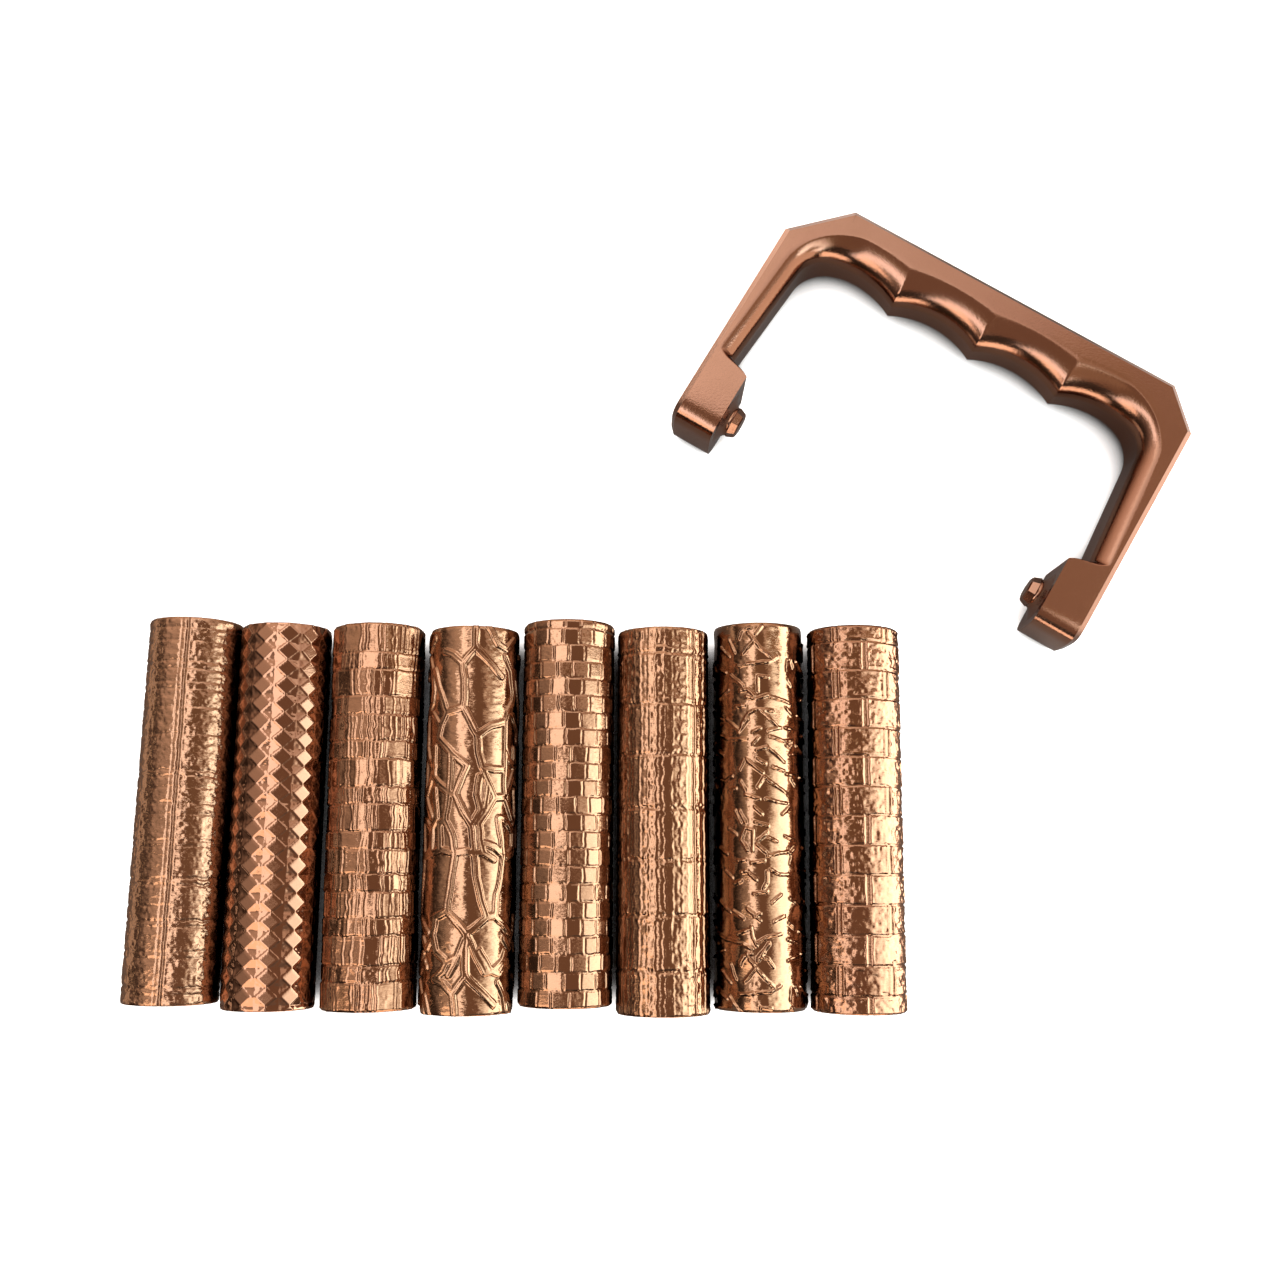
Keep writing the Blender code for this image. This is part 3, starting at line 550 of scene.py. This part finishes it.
def spaced(start, end, pitch):
    """Points along a straight line at about the given spacing, both ends included."""
    start, end = np.asarray(start, float), np.asarray(end, float)
    count = max(1, math.ceil(np.linalg.norm(end - start) / pitch))
    return start + (end - start) * np.linspace(0, 1, count + 1)[:, None]


def half_inner(pitch):
    """Finger side from the middle peak to the right pad, as stretches of (x, y) with y up the grip."""
    half_pitch = GROOVE_PITCH / 2
    sweep = math.asin(half_pitch / GROOVE_RADIUS)
    centre_y = -PEAK_V - GROOVE_RADIUS * math.cos(sweep)
    up = math.pi / 2
    first, last = np.array([half_pitch, centre_y]), np.array([GROOVE_PITCH + half_pitch, centre_y])
    top, low = np.array([LEG_TOP[0], -LEG_TOP[1]]), np.array([LEG_LOW[0], -LEG_LOW[1]])
    leg_up = (top - low) / np.linalg.norm(top - low)
    inward = np.array([leg_up[1], -leg_up[0]])
    if inward @ (last - low) < 0:
        inward = -inward
    base = low + inward * CORNER_RADIUS
    offset = base - last
    along = offset @ leg_up
    across = offset @ offset - (GROOVE_RADIUS - CORNER_RADIUS) ** 2
    corner = base + leg_up * (-along + math.sqrt(along * along - across))
    leave = math.atan2(corner[1] - last[1], corner[0] - last[0])
    meet = math.atan2(-inward[1], -inward[0])
    return [arc(first, GROOVE_RADIUS, up + sweep, up - sweep, pitch),
            arc(last, GROOVE_RADIUS, up + sweep, leave, pitch),
            arc(corner, CORNER_RADIUS, leave, meet, pitch),
            spaced(corner - CORNER_RADIUS * inward, low, LEG_PITCH), spaced(low, (PAD_X, -PAD_TOP_V), pitch)]


def grip_stations():
    """Matching points of the finger side and the outer edge, from the left pad round to the right one.

    Each stretch of the finger side has its own stretch of the outer edge, so that corners meet corners.
    """
    right = half_inner(STATION_PITCH)
    inner, outer = [], []
    for sign, cut in ((-1, LEFT_CUT), (1, RIGHT_CUT)):
        corner_x = HALF_WIDTH - cut
        marks = [(0.0, 0.0), (GROOVE_PITCH, 0.0), (corner_x, 0.0), (HALF_WIDTH, -cut),
                 (HALF_WIDTH, -LEG_LOW[1]), (HALF_WIDTH, -PAD_TOP_V)]
        left_in, left_out = [], []
        for stretch, start, end in zip(right, marks, marks[1:]):
            run = np.concatenate([[0.0], np.cumsum(np.linalg.norm(np.diff(stretch, axis=0), axis=1))])
            share = (run / run[-1])[:, None]
            match = np.array(start) + (np.array(end) - np.array(start)) * share
            left_in.append(stretch if not left_in else stretch[1:])
            left_out.append(match if not left_out else match[1:])
        one_in, one_out = np.vstack(left_in) * (sign, 1), np.vstack(left_out) * (sign, 1)
        if sign < 0:
            inner.append(one_in[::-1])
            outer.append(one_out[::-1])
        else:
            inner.append(one_in[1:])
            outer.append(one_out[1:])
    return np.vstack(inner), np.vstack(outer)


def offset_inward(points, distance):
    """The outer edge moved in by a distance, with its corners mitred, from the straight lines it lies on.

    A point on one line moves along its normal n, and a point where two meet by 2(n + m) / |n + m|^2.
    """
    far, left, right = -99.0, -HALF_WIDTH, HALF_WIDTH
    marks = [(left, far), (left, -LEFT_CUT), (left + LEFT_CUT, 0.0), (right - RIGHT_CUT, 0.0),
             (right, -RIGHT_CUT), (right, far)]
    push = np.zeros(points.shape)
    met = np.zeros((len(points), 1))
    for start, end in zip(marks, marks[1:]):
        run = np.array(end) - np.array(start)
        length = np.linalg.norm(run)
        run = run / length
        normal = np.array([run[1], -run[0]])
        off = points - np.array(start)
        along = off @ run
        on = (np.abs(off @ normal) < 1e-6) & (along > -1e-6) & (along < length + 1e-6)
        push += on[:, None] * normal
        met += on[:, None]
    square = np.maximum((push * push).sum(axis=1, keepdims=True), 1e-9)
    return points + push * distance * np.where(met > 1, 2 / square, 1.0)


def nearest(points, path):
    """Distance from each point to a polyline."""
    best = np.full(points.shape[:-1], 1e9)
    for start, end in zip(path, path[1:]):
        run = end - start
        length = run @ run
        if length < 1e-12:
            continue
        share = np.clip(((points - start) @ run) / length, 0, 1)
        gap = points - start - share[..., None] * run
        best = np.minimum(best, np.hypot(gap[..., 0], gap[..., 1]))
    return best


def on_table(x, y, z):
    """A place on the grip, in millimetres, as a point of the part's frame in metres."""
    turn = math.radians(GRIP_TURN)
    return np.stack([GRIP_PLACE[0] + x * math.cos(turn) - y * math.sin(turn),
                     GRIP_PLACE[1] + x * math.sin(turn) + y * math.cos(turn), z], axis=-1) * MM


def fillet_width(x):
    """Width of the finger side's rounding: wide at a peak, less in a groove's middle, least on the legs."""
    off_peak = np.abs((x / GROOVE_PITCH + 0.5) % 1 - 0.5) * 2
    off_peak = np.where(np.abs(x) > 1.5 * GROOVE_PITCH, 1.0, off_peak)
    wide = GROOVE_FILLET_WIDTH + (PEAK_FILLET_WIDTH - GROOVE_FILLET_WIDTH) * (1 - off_peak) ** 2
    return FILLET_WIDTH + (wide - FILLET_WIDTH) * (1 - step(np.abs(x), SIDE_START, SIDE_END))


def grip_piece():
    """The grip's skin: a loop round the section at each station, run from one pad's end to the other.

    On top, the height is the thickness less a rounding on the finger side, as wide as fillet_width
    says, and a chamfer on the outer side. Below it is the mirror image. Past the pivot the pad's end is
    a round in side view, squared a little by PAD_END_POWER.
    """
    inner, outer = grip_stations()
    pad_rows = spaced((PAD_X, -PAD_TOP_V), (PAD_X, -PIVOT_V), PAD_PITCH)[1:, 1]
    pads = {}
    for sign in (-1, 1):
        inn = np.stack([np.full(len(pad_rows), sign * PAD_X), pad_rows], axis=1)
        out = np.stack([np.full(len(pad_rows), sign * HALF_WIDTH), pad_rows], axis=1)
        pads[sign] = (inn, out)
    inner = np.vstack([pads[-1][0][::-1], inner, pads[1][0]])
    outer = np.vstack([pads[-1][1][::-1], outer, pads[1][1]])
    low = offset_inward(outer, CHAMFER)
    finger = inner[np.abs(inner[:, 1]) < PAD_TOP_V + 0.01]
    in_gap = np.concatenate([1 - np.cos(np.linspace(0, math.pi / 2, FILLET_ROWS)), [1.1, 1.25, 1.5]])
    span = np.linalg.norm(low - inner, axis=1)[:, None]
    depth_v = -inner[:, 1][:, None]
    width = fillet_width(inner[:, 0])[:, None]
    first = np.minimum(in_gap[None, :] * width / span, 0.92)
    rest = first[:, -1:] + (1 - first[:, -1:]) * np.linspace(0, 1, FLAT_ROWS)[None, 1:]
    share = np.concatenate([first, rest], axis=1)
    top = inner[:, None, :] + (low - inner)[:, None, :] * share[..., None]
    gap = nearest(top, finger)
    fade = 1 - step(depth_v, LEG_LOW[1] - 0.5, PAD_TOP_V - 0.3)
    near_top = 1 - step(np.abs(top[..., 0]), SIDE_START, SIDE_END)
    wide = fillet_width(top[..., 0])
    reach = np.clip(1 - gap / (wide * np.maximum(fade, 0.02)), 0, 1)
    deep = (FILLET_DEPTH + (GROOVE_FILLET_DEPTH - FILLET_DEPTH) * near_top) * fade
    drop = deep * (1 - np.sqrt(np.maximum(1 - reach ** FILLET_POWER, 0)))
    top_z = THICKNESS - drop
    rows = len(inner)
    top_xy = np.concatenate([top, outer[:, None, :]], axis=1)
    top_z = np.concatenate([top_z, np.full((rows, 1), THICKNESS - CHAMFER)], axis=1)
    wall_z = np.linspace(THICKNESS - CHAMFER, CHAMFER, WALL_ROWS)[1:-1]
    wall_xy = np.repeat(outer[:, None, :], len(wall_z), axis=1)
    wall = np.broadcast_to(wall_z, (rows, len(wall_z)))
    under_xy, under_z = top_xy[:, ::-1], THICKNESS - top_z[:, ::-1]
    side_share = np.linspace(0, 1, SIDE_ROWS)[1:-1]
    side_z = under_z[:, -1:] + (top_z[:, :1] - under_z[:, -1:]) * side_share
    side_xy = np.repeat(inner[:, None, :], len(side_share), axis=1)
    xy = np.concatenate([top_xy, wall_xy, under_xy, side_xy], axis=1)
    z = np.concatenate([top_z, wall, under_z, side_z], axis=1)
    half = THICKNESS / 2
    ends = []
    for row in (0, -1):
        base_xy, base_z = xy[row], z[row]
        rings = []
        # At the pad the section is a stack of heights: each is turned about the pivot's axis
        lift = base_z - half
        for turn in np.radians(90 * np.linspace(0.08, 1, PAD_ROUND_STEPS) ** 1.2):
            out = np.abs(lift) * math.sin(turn) ** PAD_END_POWER
            ring = np.stack([base_xy[:, 0], -PIVOT_V - out], axis=1)
            rings.append((ring, half + lift * max(math.cos(turn), 0.0) ** PAD_END_POWER))
        ends.append(rings)
    start, stop = ends[0][::-1], ends[1]
    xy = np.concatenate([[ring for ring, _ in start], xy, [ring for ring, _ in stop]])
    z = np.concatenate([[heights for _, heights in start], z, [heights for _, heights in stop]])
    points = on_table(xy[..., 0], xy[..., 1], z)
    piece = grid_object("grip", points, False, True, GRIP_SHARP)
    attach(piece, "handle_body")
    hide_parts("handle")
    return piece


def pivot_nub(name, sign):
    """A pivot on a pad's inner face: a round flare that narrows in a hollow curve, then an eight-sided head.

    The flare's radius falls from 7.7 to 4.3 mm along a quarter of a circle, and the head tapers to its tip.
    """
    profile = [(NUB_BASE[0], NUB_BASE[1], 0.0)]
    for share in np.linspace(0, 1, 10):
        flare = (1 - math.sin(share * math.pi / 2)) ** 1.2
        profile.append((NUB_NECK[0] * share, NUB_NECK[1] + (NUB_BASE[1] - NUB_NECK[1]) * flare, 0.0))
    profile += [(along, radius, 1.0) for along, radius in NUB_HEAD]
    turn = np.arange(NUB_SIDES) / NUB_SIDES * TURN
    sector = TURN / NUB_FACETS
    eight = math.cos(sector / 2) / np.cos((turn + sector / 2) % sector - sector / 2)
    rings = []
    for along, radius, facet in profile:
        size = radius * (1 - facet + facet * eight)
        x = sign * (PAD_X - along) * np.ones(NUB_SIDES)
        rings.append(on_table(x, -PIVOT_V + size * np.cos(turn), THICKNESS / 2 + size * np.sin(turn)))
    piece = grid_object(name, np.stack(rings), False, True, NUB_SHARP)
    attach(piece, "handle_body")
    return piece


def add(tree, kind, place, *ordered, operation=None, data_type=None, **inputs):
    """Adds a shader node and sets or links its inputs, in order or by name."""
    node = tree.nodes.new(kind)
    node.location = place
    if operation:
        node.operation = operation
    if data_type:
        node.data_type = data_type
    sockets = [(node.inputs[order], value) for order, value in enumerate(ordered)]
    sockets += [(node.inputs[name.replace("_", " ")], value) for name, value in inputs.items()]
    for socket, value in sockets:
        if isinstance(value, bpy.types.NodeSocket):
            tree.links.new(value, socket)
        else:
            socket.default_value = value
    return node


def bare_material(name):
    """A new material whose node tree is empty."""
    material = bpy.data.materials.new(name)
    material.use_nodes = True
    material.node_tree.nodes.clear()
    return material


def silk(name, tone, warm, roughness, grain, height, waver, lean, stretch=(1, 1, 1)):
    """Silk plastic: fine mica in the plastic gives a metal's mirror colour, darkest where the room is dark.

    Two tones drift into each other over some millimetres, a fine grain breaks up the reflections as the
    layers of a print do, and the polish varies a little from place to place. The colour is painted
    darker in creases and close gaps, down to 0.18 of its tone: painted shade from ambient occlusion.
    """
    material = bare_material(name)
    tree = material.node_tree
    where = add(tree, "ShaderNodeTexCoord", (-900, 0)).outputs["Object"]
    mapped = add(tree, "ShaderNodeMapping", (-720, 0), Vector=where, Scale=stretch).outputs["Vector"]
    cloud = add(tree, "ShaderNodeTexNoise", (-520, 200), Vector=where, Scale=120.0, Detail=3.0,
                Roughness=0.6)
    fine = add(tree, "ShaderNodeTexNoise", (-520, -60), Vector=mapped, Scale=grain, Detail=3.0,
               Roughness=0.62)
    tint = add(tree, "ShaderNodeMix", (-300, 260), data_type="RGBA", Factor=cloud.outputs["Fac"],
               A=linear(tone), B=linear(warm))
    polish = add(tree, "ShaderNodeMapRange", (-300, 60), Value=fine.outputs["Fac"], From_Min=0.3,
                 From_Max=0.7, To_Min=roughness * 0.8, To_Max=roughness * 1.25)
    bump = add(tree, "ShaderNodeBump", (-300, -160), Height=fine.outputs["Fac"], Strength=1.0,
               Distance=height)
    layers = add(tree, "ShaderNodeMapping", (-720, -400), Vector=where, Scale=(1, 4, 1)).outputs["Vector"]
    streak = add(tree, "ShaderNodeTexNoise", (-520, -400), Vector=layers, Scale=950.0, Detail=3.0,
                 Roughness=0.65)
    centred = add(tree, "ShaderNodeVectorMath", (-300, -400), streak.outputs["Color"],
                  (waver, waver * 0.3, waver), (-waver / 2, -waver * 0.15, lean - waver / 2),
                  operation="MULTIPLY_ADD")
    leaned = add(tree, "ShaderNodeVectorMath", (-120, -300), bump.outputs["Normal"],
                 centred.outputs["Vector"], operation="ADD")
    normal = add(tree, "ShaderNodeVectorMath", (-120, -160), leaned.outputs["Vector"],
                 operation="NORMALIZE").outputs["Vector"]
    # Painted shade: ambient occlusion within 6 mm darkens the base colour towards black in creases and
    # between close parts
    crease_shade = add(tree, "ShaderNodeAmbientOcclusion", (-500, 460), Distance=0.006)
    crease_shade.samples = 4
    painted_shade_factor = add(tree, "ShaderNodeMapRange", (-300, 460), Value=crease_shade.outputs["AO"], From_Min=0.30,
                   From_Max=0.80, To_Min=0.18)
    shaded = add(tree, "ShaderNodeMix", (-140, 300), data_type="RGBA", Factor=painted_shade_factor.outputs["Result"],
                 A=(0.0, 0.0, 0.0, 1.0), B=tint.outputs["Result"])
    surface = add(tree, "ShaderNodeBsdfPrincipled", (0, 100), Base_Color=shaded.outputs["Result"],
                  Metallic=1.0, Roughness=polish.outputs["Result"], Normal=normal, Coat_Weight=0.3,
                  Coat_Roughness=0.04, Coat_Normal=normal)
    add(tree, "ShaderNodeOutputMaterial", (300, 100), Surface=surface.outputs["BSDF"])
    return material


def dress(piece, material):
    """Gives a piece its one material."""
    piece.data.materials.clear()
    piece.data.materials.append(material)


def card(name, middle, across, along, light, far_light=None, clear=False):
    """A glowing studio panel, unseen by the camera, that the silk surfaces mirror.

    middle is its centre, and across and along reach from there to the middles of two sides, in
    millimetres. Its front is the side from which across turns to along clockwise. A light is a colour
    and a level. Where two are given, the first is at the low end of x and the second at the high end.
    A clear card adds its light to what shows through it.
    """
    mesh = bpy.data.meshes.new(name)
    middle, across, along = (Vector(v) * MM for v in (middle, across, along))
    near_side, far_side = middle - across, middle + across
    corners = [near_side - along, near_side + along, far_side + along, far_side - along]
    mesh.from_pydata([tuple(c) for c in corners], [], [(0, 1, 2, 3)])
    panel = bpy.data.objects.new(name, mesh)
    bpy.context.scene.collection.objects.link(panel)
    material = bare_material(name)
    tree = material.node_tree
    near, far = (tuple(v * level for v in linear(colour)) for colour, level in (light, far_light or light))
    where = add(tree, "ShaderNodeTexCoord", (-800, 0)).outputs["Object"]
    sideways = add(tree, "ShaderNodeSeparateXYZ", (-600, 0), Vector=where).outputs["X"]
    grade = add(tree, "ShaderNodeMapRange", (-400, 0), Value=sideways,
                From_Min=middle.x - abs(across.x), From_Max=middle.x + abs(across.x))
    blend = add(tree, "ShaderNodeMix", (-200, 0), data_type="RGBA", Factor=grade.outputs["Result"],
                A=near, B=far)
    glow = add(tree, "ShaderNodeEmission", (0, 0), Color=blend.outputs["Result"], Strength=1.0)
    shown = glow.outputs["Emission"]
    dark = add(tree, "ShaderNodeBsdfTransparent", (0, -120)).outputs["BSDF"]
    if clear:
        shown = add(tree, "ShaderNodeAddShader", (100, 60), shown, dark).outputs["Shader"]
    front = add(tree, "ShaderNodeNewGeometry", (-200, 120))
    mix = add(tree, "ShaderNodeMixShader", (150, 0), front.outputs["Backfacing"], shown, dark)
    add(tree, "ShaderNodeOutputMaterial", (300, 0), Surface=mix.outputs["Shader"])
    mesh.materials.append(material)
    panel.visible_camera = False
    panel.visible_shadow = False
    return panel


def kept_for_rollers(table):
    """The table and the rollers' skins, as a light's only receivers, so that the grip's flat stays dark."""
    receivers = bpy.data.collections.new("lit_from_low")
    receivers.objects.link(table)
    for name, _, _ in ROLLERS:
        receivers.objects.link(bpy.data.objects["skin_" + name])
    return receivers


def white_table():
    """The table: white to the camera, with painted shade in the gaps close under the part, where
    ambient occlusion turns its colour dark brown and dims its glow.

    The silk mirrors it as a dim grey, painted shade, so that lower sides stay dark, and as a painted glow
    far to the right and behind.
    """
    mesh = bpy.data.meshes.new("table")
    reach = 3.0
    corners = [(-reach, -reach, 0), (reach, -reach, 0), (reach, reach, 0), (-reach, reach, 0)]
    mesh.from_pydata(corners, [], [(0, 1, 2, 3)])
    table = bpy.data.objects.new("table", mesh)
    bpy.context.scene.collection.objects.link(table)
    material = bare_material("white_table")
    tree = material.node_tree
    # Painted shade: ambient occlusion within 12 mm turns the table dark brown and dims its glow in the gaps
    # under the part
    gap_shade_ao = add(tree, "ShaderNodeAmbientOcclusion", (-600, -40), Distance=0.012)
    glow = add(tree, "ShaderNodeMapRange", (-400, -40), Value=gap_shade_ao.outputs["AO"], From_Min=0.22,
               From_Max=0.56).outputs["Result"]
    gap = add(tree, "ShaderNodeMix", (-380, 120), data_type="RGBA", Factor=glow,
              A=(0.03, 0.015, 0.01, 1), B=(0.95, 0.90, 0.86, 1))
    seen = add(tree, "ShaderNodeBsdfDiffuse", (-200, 80), Color=gap.outputs["Result"])
    lift = add(tree, "ShaderNodeEmission", (-200, -40), Color=(0.80, 0.80, 0.80, 1), Strength=glow)
    total = add(tree, "ShaderNodeAddShader", (0, 80), seen.outputs["BSDF"], lift.outputs["Emission"])
    # Painted shade: to mirrored rays the table is a dim grey
    dim = add(tree, "ShaderNodeBsdfDiffuse", (-200, -160), Color=(0.20, 0.18, 0.17, 1))
    # Painted light: to mirrored rays the table glows far to the right and far behind, up to 1.9, standing in
    # for light falling there
    spot = add(tree, "ShaderNodeTexCoord", (-900, -320)).outputs["Object"]
    apart = add(tree, "ShaderNodeSeparateXYZ", (-700, -320), Vector=spot)
    sunny = add(tree, "ShaderNodeMapRange", (-500, -320), Value=apart.outputs["X"], From_Min=0.135,
                From_Max=0.225, To_Max=1.9)
    behind = add(tree, "ShaderNodeMapRange", (-500, -560), Value=apart.outputs["Y"], From_Min=0.125,
                 From_Max=0.180, To_Max=1.9)
    brighter = add(tree, "ShaderNodeMath", (-400, -420), sunny.outputs["Result"],
                   behind.outputs["Result"], operation="MAXIMUM")
    painted_glow = add(tree, "ShaderNodeEmission", (-300, -280), Color=(1, 0.97, 0.92, 1),
                Strength=brighter.outputs["Value"])
    mirrored = add(tree, "ShaderNodeAddShader", (0, -200), dim.outputs["BSDF"], painted_glow.outputs["Emission"])
    path = add(tree, "ShaderNodeLightPath", (-400, 200))
    mix = add(tree, "ShaderNodeMixShader", (150, 0), path.outputs["Is Camera Ray"],
              mirrored.outputs["Shader"], total.outputs["Shader"])
    add(tree, "ShaderNodeOutputMaterial", (300, 0), Surface=mix.outputs["Shader"])
    mesh.materials.append(material)
    return table


def room_world():
    """The room: white to the camera, and to the silk warm and dim, brighter above and up the table."""
    world = bpy.data.worlds.new("room")
    bpy.context.scene.world = world
    world.use_nodes = True
    tree = world.node_tree
    tree.nodes.clear()
    where = add(tree, "ShaderNodeTexCoord", (-900, 0)).outputs["Generated"]
    sky = add(tree, "ShaderNodeSeparateXYZ", (-700, 0), Vector=where)
    far = add(tree, "ShaderNodeMapRange", (-500, -240), Value=sky.outputs["Y"], From_Min=-0.75,
              From_Max=0.75, To_Min=0.10, To_Max=1.95)
    level = add(tree, "ShaderNodeMapRange", (-500, 0), Value=sky.outputs["Z"], From_Max=0.62,
                To_Min=0.12, To_Max=0.82)
    left = add(tree, "ShaderNodeMapRange", (-500, -480), Value=sky.outputs["X"], From_Min=-0.95,
               From_Max=-0.62, To_Min=0.12)
    strength = level.outputs["Result"]
    for factor in (far, left):
        strength = add(tree, "ShaderNodeMath", (-340, -120), strength, factor.outputs["Result"],
                       operation="MULTIPLY").outputs["Value"]
    warmth = add(tree, "ShaderNodeMix", (-340, 160), data_type="RGBA", Factor=level.outputs["Result"],
                 A=(1.0, 0.60, 0.38, 1), B=(1.0, 0.95, 0.90, 1))
    room = add(tree, "ShaderNodeBackground", (-200, 0), Color=warmth.outputs["Result"], Strength=strength)
    white = add(tree, "ShaderNodeBackground", (-200, -140), Color=(1, 1, 1, 1), Strength=1.0)
    path = add(tree, "ShaderNodeLightPath", (-400, 200))
    mix = add(tree, "ShaderNodeMixShader", (0, 0), path.outputs["Is Camera Ray"],
              room.outputs["Background"], white.outputs["Background"])
    add(tree, "ShaderNodeOutputWorld", (200, 0), Surface=mix.outputs["Shader"])


def studio():
    """The table, the room, a narrow strip overhead at the left, a broad panel at the right, and cards."""
    table = white_table()
    room_world()
    cream, cool, shade = "fff2e2", "def6ff", "b89d89"
    card("strip_overhead", (-144, -110, 335), (54, 0, 0), (0, 320, 0), ("eef6ff", 3.7))
    card("flag_camera", (40, -70, 372), (100, 0, 0), (0, 230, 0), (shade, 0.8))
    card("flag_pad", (130, 12, 100), (24, 0, 0), (0, 22, 0), ("ffe3cb", 0.6))
    card("panel_high", (185, -100, 231), (50, 0, -69), (0, 130, 0), (cream, 1.0), (cool, 6.0))
    card("panel_low", (290, -60, 86), (55, 0, -76), (0, 150, 0), (cream, 1.5), (cream, 1.7))
    low = card("panel_low_rollers", (288.4, -60, 84.8), (55, 0, -76), (0, 150, 0), (cool, 4.5), (cool, 7.3),
               clear=True)
    low.light_linking.receiver_collection = kept_for_rollers(table)
    card("panel_far", (25, 235, 335), (105, 0, 0), (0, 85, 0), ("ffffff", 2.4), ("ffffff", 1.35))
    card("flag_far", (225, 230, 335), (95, 0, 0), (0, 100, 0), ("fffaf8", 1.45), ("ffe6da", 0.75))
    card("flag_right", (255, 115, 300), (75, 0, 0), (0, 75, 0), ("ffe3cb", 0.62))
    card("panel_near", (-250, -290, 335), (135, 0, 0), (0, 130, 0), (cream, 3.3))
    card("low_left", (-420, -40, 50), (0, 200, 0), (0, 0, -45), (cream, 1.0))
    card("panel_front", (120, -520, 110), (250, 0, 0), (0, 0, 110), (cream, 3.2))


def camera():
    """The camera of the photograph: almost straight down, tilted a little to look up the table."""
    data = bpy.data.cameras.new("camera")
    data.lens = CAMERA_LENS
    data.sensor_width = 36.0
    data.clip_start = 0.01
    view = bpy.data.objects.new("camera", data)
    view.location = Vector(CAMERA_PLACE) * MM
    view.rotation_euler = Euler((math.radians(CAMERA_TILT), 0, 0))
    bpy.context.scene.collection.objects.link(view)
    bpy.context.scene.camera = view


# Two tones, the depth of the grain in metres and the waver of the normal for each roller's silk
ROLLER_SILK = {
    "rough_plank": ("a77b5d", "9a6f52", 0.00007, 0.40),
    "diamond_knurl": ("a5775a", "996a4f", 0.00001, 0.06),
    "ashlar_course": ("a47656", "986a4d", 0.00005, 0.30),
    "cracked_stone": ("a67a59", "996d50", 0.00004, 0.38),
    "small_tile": ("a47758", "996c4e", 0.00004, 0.22),
    "wood_strip": ("a67958", "986b4e", 0.00006, 0.34),
    "straw": ("a67a59", "9a6e50", 0.00003, 0.22),
    "stone_block": ("a57657", "98684c", 0.00007, 0.36),
}
ROLLER_POLISH = 0.075
ROLLER_GRAIN = 1500.0
ROLLER_STRETCH = (1, 1.6, 1)


def build():
    """Builds every piece and dresses it."""
    joints = {joint["name"]: joint for joint in frame["joints"]}
    for name, pattern, radius in ROLLERS:
        piece = roller_piece(name, pattern, radius, joints[name + "_spin"])
        lean = STRAW_LEAN if name == "straw" else UPWARD_LEAN
        tone, warm, height, waver = ROLLER_SILK[name]
        dress(piece, silk("silk_copper_" + name, tone, warm, ROLLER_POLISH, ROLLER_GRAIN, height, waver,
                          lean, ROLLER_STRETCH))
    grip_silk = silk("silk_copper_grip", "a3745c", "986b53", 0.13, 1800.0, 0.00003, 0.05, 0.0)
    dress(grip_piece(), grip_silk)
    for name, sign in (("pivot_nub_left", -1), ("pivot_nub_right", 1)):
        dress(pivot_nub(name, sign), grip_silk)


build()
studio()
camera()
bpy.context.scene.view_settings.view_transform = "Standard"
